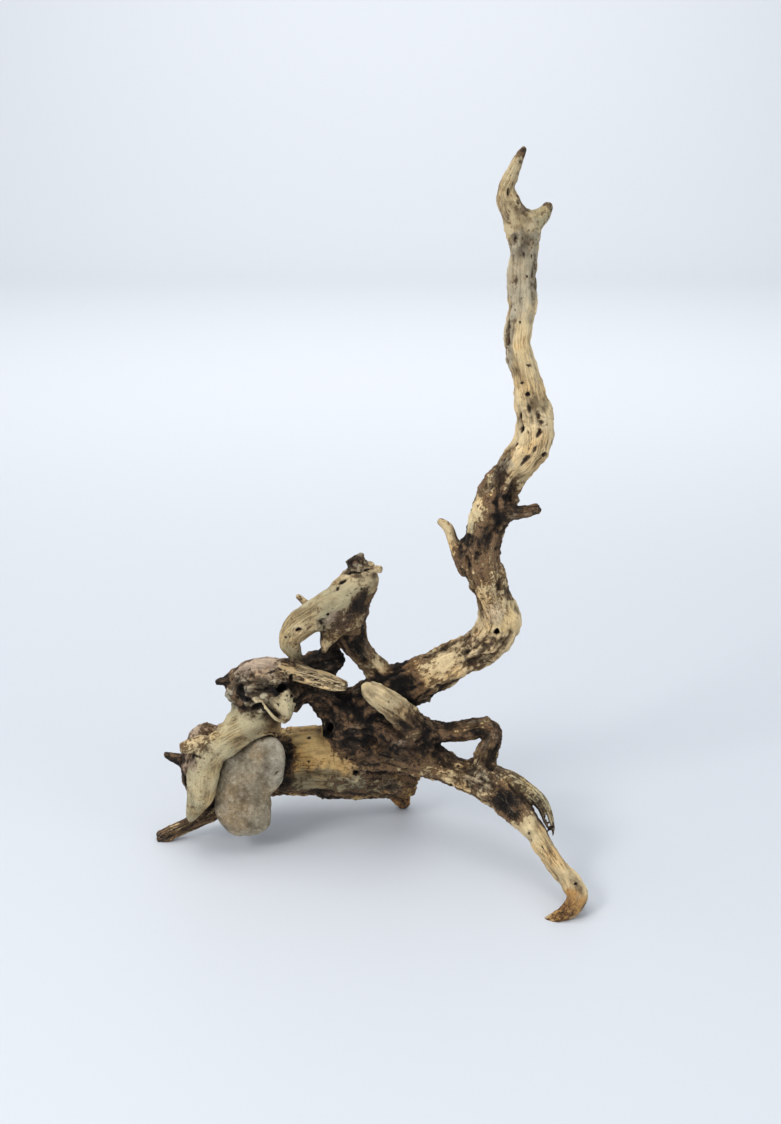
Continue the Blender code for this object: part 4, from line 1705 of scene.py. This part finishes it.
LIMBS = [
    Limb("main_stem", [
        (-10, 50, 85, 19.2, 1), (11, 46, 104, 18.3, 1), (31, 42, 118, 17.4, 0.95),
        (50, 39, 129, 15.2, 0.55), (70, 36, 142, 13.6, 0.32), (87, 32, 154, 14.2, 0.32),
        (97, 28, 172, 14.8, 0.1), (93, 25, 190, 13, 0.2), (87, 22, 207, 12.9, 0.45),
        (82, 20, 224, 13.4, 0.85), (84, 20, 240, 13.1, 0.6), (89, 20, 256, 13.7, 0.6),
        (94, 20, 272, 11.9, 0.6), (104, 19, 288, 12.2, 0.2), (115, 18, 302, 12.8, 0.14),
        (117, 16, 317, 12.4, 0.15), (113, 14, 334, 10.6, 0.05), (108, 12, 353, 9.1, 0.05),
        (103, 12, 371, 8.4, 0.05), (104, 14, 386, 8.6, 0.08), (106, 16, 400, 9, 0.16),
        (106, 17, 419, 8.6, 0.18), (106, 17, 435, 8.5, 0.2), (104, 16, 447, 9.6, 0.16),
        (97, 13, 459, 8, 0.15), (93, 10, 469, 6.3, 0.1), (96, 7, 479, 4.8, 0.1),
        (100, 5, 489, 3.5, 0.2), (103, 4, 495, 2.2, 0.6),
    ]),
    Limb("fork_prong", [
        (106, 17, 441, 7.7, 0.3), (112, 19, 449, 6.1, 0.2), (118, 21, 454, 5.1, 0.2),
        (121, 23, 458, 3.9, 0.4),
    ], Surface.SMOOTH, Tone.OLIVE),
    Limb("stem_spur", [
        (91, 18, 256, 9.6, 0.6), (101, 10, 257, 5.4, 0.8), (110, 4, 260, 4, 0.85),
        (118, 0, 263, 3.5, 0.8),
    ], Surface.BARK, broken=True),
    Limb("side_twig", [
        (75, 22, 216, 7.6, 0.7), (67, 24, 224, 4.5, 0.5), (63, 27, 233, 3.6, 0.15),
        (60, 29, 241, 3.5, 0.1), (55, 30, 245, 2.5, 0.3),
    ], Surface.SMOOTH),
    Limb("right_leg", [
        (6, 48, 70, 20.7, 0.95), (28, 40, 69, 17.6, 0.75), (49, 30, 64, 13.1, 0.6),
        (65, 20, 60, 10.9, 0.5), (81, 8, 60, 12.9, 0.32), (96, -6, 59, 13.4, 0.45),
        (107, -18, 52, 10.5, 0.7), (118, -30, 41, 7.7, 0.08), (127, -42, 32, 6.6, 0.04),
        (135, -54, 23, 6.3, 0.04), (143, -65, 17, 6.8, 0.05), (146, -74, 11, 7.7, 0.1),
        (140, -80, 6, 6, 0.2), (132, -82, 2, 4.4, 0.3), (125, -80, -2, 2.4, 0.4),
    ]),
    Limb("leg_loop", [
        (36, 36, 80, 11, 0.8), (49, 32, 85, 8.7, 0.9), (63, 27, 88, 7.2, 0.75), (77, 23, 92, 7.6, 0.6),
        (88, 20, 95, 7.6, 0.6), (93, 18, 90, 7.2, 0.6), (91, 15, 81, 7.6, 0.7), (88, 10, 75, 7.9, 0.6),
        (85, 5, 68, 6.4, 0.5),
    ], Surface.BARK),
    Limb("finger_stub", [
        (44, 29, 85, 9.4, 0.8), (34, 20, 99, 9, 0.7), (24, 10, 112, 8.5, 0.2), (13, 2, 125, 8, 0.08),
        (6, -2, 132, 6.7, 0.1),
    ]),
    Limb("hand_strut", [
        (25, 44, 110, 10.9, 0.9), (13, 43, 125, 8.4, 0.35), (2, 41, 140, 8.3, 0.6),
        (-7, 38, 154, 9.3, 0.7), (-9, 37, 169, 10.7, 0.85), (-6, 36, 183, 11, 0.85),
        (-1, 33, 197, 10.2, 0.4), (0, 30, 206, 8.1, 0.2),
    ], Surface.BARK),
    Limb("hand_palm", [
        (3, 27, 202, 7.3, 0.15), (-8, 22, 197, 8.7, 0.12), (-21, 18, 191, 9, 0.1),
        (-33, 16, 183, 9.2, 0.1), (-45, 16, 174, 9.2, 0.12), (-51, 18, 163, 7.6, 0.15),
        (-49, 20, 155, 5.9, 0.2), (-45, 22, 148, 2.8, 0.4),
    ], Surface.SMOOTH, Tone.OLIVE),
    Limb("palm_web", [
        (-12, 28, 184, 12.7, 0.4), (-18, 25, 174, 9.5, 0.3), (-23, 24, 164, 6.3, 0.25),
        (-26, 23, 157, 3.5, 0.2), (-27, 23, 152, 1.8, 0.3),
    ], Surface.SMOOTH, Tone.TAN),
    Limb("palm_heel", [
        (-13, 24, 190, 9.1, 0.2), (-24, 22, 181, 8.8, 0.15), (-34, 21, 175, 7, 0.12),
        (-42, 20, 169, 6.3, 0.12),
    ], Surface.SMOOTH, Tone.OLIVE),
    Limb("crown_knob", [
        (-3, 28, 207, 7.3, 0.4), (-4, 29, 214, 6.6, 0.4), (-5, 29, 218, 5.7, 0.45),
    ], Surface.KNOBBLY, Tone.SILVER, broken=True),
    Limb("crown_ledge", [
        (0, 27, 204, 7.7, 0.2), (-9, 24, 204, 6.3, 0.12), (-16, 22, 202, 3.8, 0.2),
    ]),
    Limb("crown_spur", [
        (0, 27, 209, 4.9, 0.5), (7, 23, 213, 3.2, 0.4), (13, 20, 214, 2.5, 0.3),
    ], Surface.BARK, broken=True, fine=True),
    Limb("back_twig", [
        (-33, 28, 178, 4.9, 0.3), (-40, 32, 185, 2.8, 0.2), (-45, 34, 189, 2, 0.4),
    ], Surface.SMOOTH, fine=True),
    Limb("dark_strut", [
        (-10, 42, 162, 7.9, 0.95), (-23, 46, 148, 5.8, 0.95), (-26, 50, 131, 7, 1),
        (-35, 50, 114, 10.2, 1),
    ], Surface.BARK),
    Limb("dark_arch", [
        (-20, 46, 136, 7.2, 1), (-32, 44, 134, 8, 1), (-44, 40, 132, 7.9, 0.9),
        (-55, 36, 131, 8.6, 0.6),
    ], Surface.BARK),
    Limb("frayed_stick", [
        (-53, 20, 140, 6, 0.4), (-42, 13, 139, 5.6, 0.1), (-29, 7, 138, 5.3, 0.1),
        (-19, 3, 136, 4.6, 0.12), (-12, 1, 135, 3.5, 0.2),
    ], Surface.FRAYED, broken=True),
    Limb("head_core", [
        (-89, 34, 119, 9.4, 0.45), (-79, 30, 119, 16.5, 0.3), (-68, 27, 121, 17.9, 0.32),
        (-58, 26, 122, 12.2, 0.6),
    ], Surface.GNARLED, Tone.SILVER),
    Limb("head_brow", [
        (-90, 35, 128, 5.4, 0.4), (-83, 32, 133, 7.2, 0.2), (-72, 29, 136, 8.6, 0.1),
        (-59, 26, 136, 7.8, 0.14), (-51, 24, 136, 5.7, 0.35),
    ], Surface.WEATHERED, Tone.PINK),
    Limb("head_spike", [
        (-90, 34, 125, 7.9, 0.8), (-98, 34, 125, 4.3, 1), (-104, 34, 124, 2.6, 1),
    ], Surface.GNARLED, fine=True),
    Limb("head_rim", [
        (-76, 10, 121, 1.2, 0.1), (-71, 7.5, 119, 1.3, 0.05), (-66, 5, 114, 1.2, 0.05),
        (-61, 5, 108, 1.4, 0.05), (-55, 8, 104, 1.3, 0.1),
    ], Surface.SMOOTH, Tone.CREAM, fine=True),
    Limb("head_jaw", [
        (-66, 22, 126, 10, 0.45), (-57, 14, 118, 7.8, 0.1), (-54, 11, 110, 5, 0.12),
        (-54, 10, 105, 2.5, 0.4),
    ], Surface.WEATHERED, Tone.CREAM, broken=True),
    Limb("neck", [
        (-75, 28, 108, 15.8, 0.3), (-80, 24, 97, 15.8, 0.12), (-91, 18, 88, 12.9, 0.12),
    ], Surface.SMOOTH, Tone.OLIVE),
    Limb("neck_band", [
        (-67, 18, 95, 8.2, 0.2), (-74, 14, 97, 7.8, 0.12), (-83, 11, 95, 8.9, 0.1),
        (-95, 7, 90, 9.9, 0.1), (-107, 5, 81, 10.7, 0.12), (-113, 3, 69, 11.7, 0.15),
        (-115, 2, 55, 10.3, 0.12), (-119, 6, 42, 7.9, 0.12), (-124, 12, 29, 4.4, 0.15),
        (-126, 16, 22, 1.9, 0.3),
    ], Surface.SMOOTH, Tone.OLIVE, squash=BAND_SQUASH),
    Limb("band_back", [
        (-114, 22, 82, 11.5, 0.35), (-119, 22, 68, 11.6, 0.5), (-121, 22, 52, 9.5, 0.6),
        (-117, 22, 39, 7.3, 0.5),
    ], Surface.WEATHERED, Tone.PINK),
    Limb("band_knob", [
        (-114, 6, 88, 6.4, 0.3), (-122, 2, 88, 5.2, 0.25), (-127, 0, 88, 3.7, 0.3),
    ], Surface.SMOOTH, broken=True, fine=True),
    Limb("band_fold", [
        (-90, 14, 96, 4.3, 0.15), (-100, 8, 94, 4.6, 0.2), (-109, 2, 89, 4.2, 0.3),
        (-115, -1, 82, 3.5, 0.3),
    ], Surface.WEATHERED, Tone.CREAM, fine=True),
    Limb("band_crest", [
        (-101, 22, 85, 7.2, 0.3), (-113, 22, 88, 6.1, 0.5), (-118, 20, 87, 4.3, 0.6),
    ], Surface.BARK, Tone.PINK),
    Limb("crest_thorn", [
        (-111, 22, 90, 2.9, 0.9), (-111, 22, 94, 1.7, 1), (-112, 22, 96, 0.9, 1),
    ], Surface.BARK, fine=True),
    Limb("black_spur", [
        (-121, 26, 64, 5.8, 0.9), (-132, 28, 65, 4.4, 1), (-139, 30, 66, 3.6, 1),
        (-143, 30, 68, 2.5, 1),
    ], Surface.BARK),
    Limb("left_foot", [
        (-84, 44, 41, 9.7, 0.8), (-100, 36, 29, 9.6, 0.7), (-115, 31, 19, 6.1, 0.6),
        (-130, 29, 12, 5.3, 0.5), (-142, 28, 6, 5.2, 0.5), (-150, 29, 1, 5, 0.7),
    ], Surface.FRAYED, Tone.TAN, broken=True),
    Limb("bridge", [
        (-54, 28, 113, 9.3, 0.8), (-43, 40, 114, 8.7, 0.95), (-30, 48, 106, 9.5, 1),
        (-15, 50, 92, 14, 1),
    ], Surface.BARK),
    Limb("stump", [
        (-111, 32, 61, 13.2, 0.5), (-93, 46, 52, 19.3, 0.7), (-72, 54, 49, 23.2, 0.85),
        (-48, 56, 52, 24.7, 0.2), (-25, 58, 51, 25.5, 0.28), (-3, 60, 48, 25.6, 0.4),
        (17, 64, 43, 22.7, 0.6), (29, 68, 34, 16.7, 0.6),
    ], Surface.SMOOTH, Tone.GOLD, broken=True),
    Limb("collar", [
        (-13, 50, 79, 15.5, 1), (-6, 48, 86, 19.9, 1), (8, 46, 87, 20.6, 1), (24, 44, 82, 19.1, 0.9),
    ], Surface.BARK),
    Limb("collar_ridge", [
        (-8, 36, 63, 6.6, 0.5), (7, 30, 70, 5.8, 0.8), (21, 27, 73, 5.8, 0.8), (36, 26, 71, 6.5, 0.8),
        (50, 24, 67, 6.5, 0.7),
    ], Surface.BARK),
    Limb("collar_lump", [
        (18, 26, 85, 6.5, 0.5), (26, 23, 82, 6.5, 0.5), (34, 24, 80, 5.8, 0.6),
    ], Surface.GNARLED, Tone.PINK),
    Limb("root_lobe_left", [
        (-39, 54, 39, 12, 0.7), (-25, 52, 32, 9.8, 0.8), (-15, 52, 29, 6, 0.9),
    ], Surface.GNARLED, Tone.OLIVE),
    Limb("root_lobe_mid", [
        (-9, 58, 37, 12, 0.6), (2, 58, 29, 8.3, 0.6), (9, 58, 26, 6, 0.6),
    ], Surface.GNARLED, Tone.OLIVE),
    Limb("root_lobe_right", [
        (17, 64, 34, 12.9, 0.5), (25, 70, 21, 8.8, 0.45), (29, 77, 9, 5.8, 0.5), (30, 82, 0, 3.9, 0.9),
    ], Surface.GNARLED, Tone.OCHRE),
    Limb("root_fray", [
        (27, 66, 32, 7.6, 0.5), (35, 66, 28, 3.8, 0.5), (38, 64, 29, 2.3, 0.5),
    ], Surface.GNARLED, Tone.OCHRE, broken=True, fine=True),
    Limb("root_fray_low", [
        (27, 68, 24, 6.9, 0.5), (35, 68, 20, 4.2, 0.5), (37, 68, 17, 2.3, 0.6),
    ], Surface.GNARLED, Tone.OCHRE, broken=True, fine=True),
    Limb("shred_outer", [
        (97, -4, 68, 6.4, 0.5), (110, -10, 66, 4.9, 0.3), (120, -16, 62, 3.5, 0.25),
        (127, -22, 57, 2.8, 0.25), (131, -28, 50, 2.1, 0.25), (133, -32, 42, 1.5, 0.3),
        (133, -34, 37, 0.8, 0.5),
    ], Surface.FRAYED, Tone.OLIVE, fine=True),
    Limb("shred_inner", [
        (111, -12, 62, 4.2, 0.4), (118, -18, 58, 2.5, 0.3), (124, -24, 53, 2, 0.3),
        (127, -29, 47, 1.5, 0.3), (130, -33, 41, 1, 0.5),
    ], Surface.FRAYED, Tone.OLIVE, fine=True),
]

CAVITIES = [
    # each (x, y, z, radius, 0) as in a limb, but what it lays out is rotted away
    Limb("head_eye_socket", [(-66, 12, 124, 1.6, 0), (-59, 13, 127, 2.6, 0), (-51, 13, 131, 2.2, 0)]),
    Limb("head_hollow", [(-71, 8, 117, 2.0, 0), (-65, 8, 111, 2.6, 0), (-61, 10, 107, 1.6, 0)]),
    Limb("head_cleft", [(-90, 18, 132, 1.5, 0), (-87, 16, 124, 2.2, 0), (-82, 14, 119, 1.6, 0)]),
    Limb("collar_slit", [(-26, 36, 92, 1.6, 0), (-24, 38, 86, 2.6, 0), (-22, 38, 79, 1.8, 0)]),
    Limb("lip_hole", [(-129, 13, 57, 2.4, 0), (-128, 16, 52, 3.2, 0)]),
    Limb("elbow_borehole", [(94, 12, 171, 1.3, 0), (94, 20, 169, 1.2, 0)]),
    Limb("stump_knot_eye", [(-6, 33, 53, 1.2, 0), (-5, 38, 52, 1.2, 0)]),
    # painted shadow: a slot carved and darkened where the shade falls beside the stone
    Limb("leg_shadow", [(-61, 34, 78, 2.0, 0), (-60, 36, 62, 3.0, 0), (-61, 36, 48, 2.0, 0)]),
]

MARKS = [
    # the tall stem, from the elbow up
    Mark(Scar.HOLE, (94, 14, 170), 7, 4, 80, 1.6),
    Mark(Scar.KNOT, (86, 18, 159), 19, 12, 8, 1.4),
    Mark(Scar.KNOT, (74, 20, 152), 9, 7, 20, 0.8),
    Mark(Scar.GOUGE, (110, 6, 296), 19, 3.4, 52, 1.7),
    Mark(Scar.GOUGE, (116, 6, 303), 12, 2.8, 68, 1.6),
    Mark(Scar.HOLE, (122, 8, 299), 4.5, 3.0, 60, 1.4),
    Mark(Scar.KNOT, (118, 4, 326), 8, 5.5, 80, 1.3),
    Mark(Scar.GOUGE, (111, 5, 330), 13, 3.2, -75, 1.3),
    Mark(Scar.GOUGE, (106, 7, 324), 15, 2.6, 88, 1.5),
    Mark(Scar.HOLE, (107, 7, 316), 5, 3.2, 90, 2.0),
    Mark(Scar.GOUGE, (118, 4, 314), 11, 3.6, 62, 1.8),
    Mark(Scar.CRACK, (104, 6, 306), 22, 1.6, 62, 0.9),
    Mark(Scar.CRACK, (96, 10, 296), 20, 1.8, 48, 0.9),
    Mark(Scar.HOLE, (110, 4, 340), 4.2, 3.2, 0, 1.2),
    Mark(Scar.HOLE, (106, 5, 347), 2.2, 1.8, 0, 0.9),
    Mark(Scar.CRACK, (110, 4, 359), 6, 2.0, 8, 0.9),
    Mark(Scar.HOLE, (104, 6, 387), 2.4, 2.2, 0, 1.0),
    Mark(Scar.KNOT, (99, 11, 439), 9, 6, 85, 1.2),
    Mark(Scar.CRACK, (94, 4, 469), 15, 2.0, 100, 1.1),
    Mark(Scar.CRACK, (105, 8, 430), 26, 1.5, 92, 0.7),
    # the leg
    Mark(Scar.CRACK, (115, -37, 41), 10, 1.3, 78, 0.8),
    Mark(Scar.HOLE, (145, -70, 21), 4, 2.2, 20, 0.8),
    Mark(Scar.HOLE, (139, -56, 29), 2.6, 1.8, 30, 0.8),
    Mark(Scar.CRACK, (124, -42, 33), 14, 1.2, -60, 0.6),
    # the stump and collar
    Mark(Scar.HOLE, (-24, 36, 86), 13, 5.5, 72, 3.5),
    Mark(Scar.HOLE, (-5, 34, 52), 6, 4, 20, 1.6),
    Mark(Scar.KNOT, (-5, 34, 52), 14, 11, 20, 0.9),
    Mark(Scar.HOLE, (-12, 37, 63), 4.5, 3.2, 10, 1.8),
    Mark(Scar.HOLE, (-40, 45, 74), 3.4, 2.6, 20, 1.2),
    Mark(Scar.HOLE, (-40, 34, 61), 3.0, 2.0, 0, 1.2),
    Mark(Scar.GOUGE, (16, 26, 69), 20, 2.6, -14, 1.4),
    Mark(Scar.GOUGE, (4, 28, 74), 14, 2.0, 84, 1.2),
    # the upper left branch
    Mark(Scar.KNOT, (-44, 7, 174), 9, 6, 10, 1.0),
    Mark(Scar.HOLE, (-44, 7, 174), 5, 3, 10, 1.8),
    Mark(Scar.KNOT, (-28, 13, 177), 10, 8, 70, 0.8),
    Mark(Scar.HOLE, (-23, 10, 184), 2.8, 2.4, 0, 1.4),
    Mark(Scar.HOLE, (-53, 11, 167), 2.6, 2.0, 0, 1.0),
    Mark(Scar.CRACK, (-26, 14, 172), 12, 1.8, 62, 1.2),
    Mark(Scar.GOUGE, (-13, 22, 204), 12, 2.6, 32, 1.6),
    Mark(Scar.CRACK, (15, 4, 122), 26, 1.3, -52, 0.8),
    Mark(Scar.CRACK, (22, 6, 112), 16, 1.3, -60, 0.8),
    Mark(Scar.CRACK, (-5, 22, 211), 24, 2.0, 3, 1.4),
    Mark(Scar.CRACK, (-16, 18, 201), 14, 1.5, 42, 1.0),
    Mark(Scar.CRACK, (0, 18, 200), 14, 1.4, 78, 0.8),
    Mark(Scar.CRACK, (-8, 18, 196), 12, 1.2, 20, 0.7),
    Mark(Scar.GOUGE, (3, 22, 213), 6, 3.0, 0, 1.4),
    # the gnarled head
    Mark(Scar.HOLE, (-58, 14, 127), 13, 5.5, 25, 2.6),
    Mark(Scar.HOLE, (-50, 12, 136), 7, 3.5, 80, 2.0),
    Mark(Scar.CRACK, (-50, 11, 122), 18, 1.8, 78, 1.4),
    Mark(Scar.CRACK, (-60, 6, 118), 13, 1.2, -62, 0.9),
    Mark(Scar.CRACK, (-80, 18, 140), 16, 1.3, 35, 0.9),
    Mark(Scar.CRACK, (-70, 12, 131), 26, 1.4, -4, 1.1),
    Mark(Scar.CRACK, (-84, 14, 118), 12, 1.4, 70, 1.0),
    Mark(Scar.CRACK, (-34, 4, 139), 32, 1.3, -12, 1.0),
    Mark(Scar.CRACK, (-30, 3, 135), 26, 1.2, -12, 1.0),
    Mark(Scar.CRACK, (-36, 6, 142), 22, 1.1, -10, 0.9),
    Mark(Scar.HOLE, (-74, 10, 115), 11, 5.5, 10, 2.4),
    Mark(Scar.KNOT, (-79, 11, 118), 7, 6, 0, 1.2),
    Mark(Scar.GOUGE, (-86, 13, 128), 14, 4, 100, 2.0),
    Mark(Scar.GOUGE, (-68, 12, 128), 14, 5, 20, 2.0),
    Mark(Scar.CRACK, (-64, 20, 138), 24, 1.8, 18, 1.2),
    Mark(Scar.HOLE, (-48, 12, 119), 6, 3, 70, 2.0),
    # the lip round the stone
    Mark(Scar.HOLE, (-128, 15, 54), 9, 6.5, 80, 4.0),
    Mark(Scar.CRACK, (-118, 0, 82), 18, 1.8, -12, 1.2),
    Mark(Scar.CRACK, (-63, 16, 92), 15, 1.5, -12, 1.2),
]

STAINS = [
    # bark on the stem and what is bare of it
    Stain(Cover.BARK, (94, 8, 263), 26, 19, 80, 0.95),
    Stain(Cover.BARK, (80, 7, 234), 17, 30, 90, 0.75),
    Stain(Cover.BARE, (76, 14, 254), 26, 13, 78, 0.95),
    Stain(Tone.CREAM, (76, 14, 254), 30, 18, 78, 0.6),
    Stain(Tone.SILVER, (95, 10, 289), 20, 13, 62, 0.85),
    Stain(Tone.SILVER, (105, 9, 420), 70, 30, 90, 0.7),
    Stain(Tone.SILVER, (97, 8, 372), 70, 9, 92, 0.7),
    Stain(Cover.BARK, (96, 8, 374), 74, 5, 92, 0.3),
    Stain(Tone.GOLD, (107, 4, 362), 60, 14, 92, 0.22),
    Stain(Cover.BARE, (102, 8, 440), 44, 22, 88, 0.7),
    Stain(Tone.OLIVE, (119, 16, 454), 22, 18, 45, 0.7),
    Stain(Tone.OLIVE, (99, 4, 480), 34, 14, 75, 0.45),
    Stain(Cover.BARK, (103, 4, 494), 8, 8, 0, 0.8),
    Stain(Cover.BARK, (121, 22, 460), 6, 8, 0, 0.8),
    Stain(Cover.FLECKS, (93, 11, 194), 52, 40, 100, 0.95),
    Stain(Tone.PINK, (92, 12, 184), 20, 16, 70, 0.45),
    Stain(Tone.GOLD, (104, 14, 178), 26, 14, 80, 0.4),
    Stain(Cover.BARE, (56, 24, 140), 26, 14, 30, 0.55),
    Stain(Cover.FLECKS, (112, 6, 318), 50, 30, 75, 0.25),
    # the collar and the crotch
    Stain(Cover.BARK, (2, 32, 106), 54, 54, 10, 1.0),
    Stain(Cover.BARK, (26, 30, 106), 40, 34, 0, 1.0),
    Stain(Cover.FLECKS, (15, 2, 122), 40, 22, -50, 0.5),
    Stain(Tone.CREAM, (14, 2, 122), 40, 18, -50, 0.5),
    Stain(Tone.OCHRE, (14, 27, 77), 26, 20, 0, 0.5),
    Stain(Cover.BARE, (16, 27, 77), 28, 18, -20, 0.55),
    # the stump
    Stain(Tone.GOLD, (-38, 44, 70), 46, 40, 0, 0.95),
    Stain(Cover.BARE, (-38, 44, 70), 40, 30, 0, 0.9),
    Stain(Tone.MOSS, (-28, 34, 44), 76, 30, 0, 0.85),
    Stain(Tone.MOSS, (6, 38, 40), 44, 34, 0, 0.8),
    Stain(Cover.BARK, (-24, 38, 31), 64, 14, 0, 0.95),
    Stain(Cover.BARK, (8, 34, 50), 30, 34, 0, 0.4),
    Stain(Tone.GOLD, (-9, 34, 58), 22, 18, 0, 0.8),
    Stain(Cover.BARE, (-10, 34, 59), 20, 16, 0, 0.5),
    Stain(Tone.OCHRE, (21, 47, 31), 20, 18, 0, 0.95),
    # painted shadow: a band of dark bark laid in the shade beside the stone
    Stain(Cover.BARK, (-60, 38, 62), 64, 22, 92, 1.0),
    # the leg and its foot
    Stain(Tone.SILVER, (83, -6, 68), 44, 26, -10, 0.75),
    Stain(Cover.BARK, (104, -24, 54), 30, 18, -25, 0.85),
    Stain(Tone.OLIVE, (114, -17, 64), 30, 14, -30, 0.9),
    Stain(Cover.BARE, (120, -38, 42), 26, 16, -60, 0.9),
    Stain(Tone.CREAM, (122, -42, 36), 36, 20, -60, 0.5),
    Stain(Tone.OCHRE, (138, -82, 9), 30, 24, 20, 0.9),
    Stain(Cover.FLECKS, (138, -82, 9), 26, 20, 20, 0.5),
    Stain(Tone.RUST, (96, 13, 92), 16, 22, 80, 0.8),
    # the upper left branch
    Stain(Tone.OLIVE, (-20, 10, 192), 52, 16, 38, 0.75),
    Stain(Cover.FLECKS, (-34, 12, 174), 44, 36, 20, 0.6),
    Stain(Tone.TAN, (-40, 12, 168), 36, 24, 40, 0.6),
    Stain(Tone.PINK, (-16, 14, 178), 20, 22, 90, 0.8),
    Stain(Cover.BARK, (-14, 14, 176), 14, 26, 0, 0.42),
    Stain(Cover.BARE, (15, 34, 138), 22, 14, -50, 0.8),
    # painted shade: dark bark laid over the shaded inside of the hand
    Stain(Cover.BARK, (-4, 20, 188), 36, 20, 78, 1.0),
    # the gnarled head
    Stain(Tone.PINK, (-72, 22, 140), 30, 22, 10, 0.7),
    Stain(Tone.CREAM, (-55, 8, 120), 24, 14, 70, 0.8),
    Stain(Cover.BARE, (-55, 8, 120), 22, 12, 70, 0.7),
    Stain(Cover.BARK, (-90, 14, 122), 30, 12, 100, 0.5),
    Stain(Cover.FLECKS, (-55, 8, 116), 26, 16, 70, 0.8),
    Stain(Cover.BARE, (-74, 12, 134), 26, 14, 15, 0.45),
    Stain(Cover.BARE, (-82, 12, 124), 16, 10, 100, 0.6),
    Stain(Cover.BARK, (-62, 12, 126), 22, 10, 20, 0.7),
    # the lip round the stone
    Stain(Tone.OLIVE, (-78, 8, 100), 46, 20, 20, 0.5),
    Stain(Tone.GOLD, (-62, 16, 96), 20, 16, 0, 0.45),
    Stain(Tone.PINK, (-120, 0, 77), 16, 14, 0, 0.7),
    Stain(Tone.TAN, (-112, -6, 54), 42, 16, 80, 0.3),
    Stain(Cover.BARK, (-113, 0, 88), 14, 8, -20, 0.35),
]


def corners(node: str) -> tuple[np.ndarray, np.ndarray]:
    """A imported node's lowest and highest corners, in millimetres."""
    low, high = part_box(node)
    return np.array(low) / MM, np.array(high) / MM


def main() -> None:
    """Builds the stone, the root and the studio."""
    logging.basicConfig(level=logging.INFO, format="%(name)s: %(message)s")
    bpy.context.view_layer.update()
    effects = Effects()
    stone = RiverStone(*corners("river_stone"))
    held = stone.build([Course.of(limb, stone.step) for limb in LIMBS if limb.name == "neck_band"])
    held.data.materials.append(StoneFinish().make(effects))
    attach(held, "root")
    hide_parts("river_stone")
    root = DryRoot(LIMBS, CAVITIES, MARKS, STAINS)
    grown = root.build(*corners("dry_root"), stone.courses())
    grown.data.materials.append(WoodFinish().make(effects))
    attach(grown, "root")
    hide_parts("dry_root")
    studio = Studio()
    studio.floor()
    studio.light()
    studio.camera()


if __name__ == "__main__":
    main()
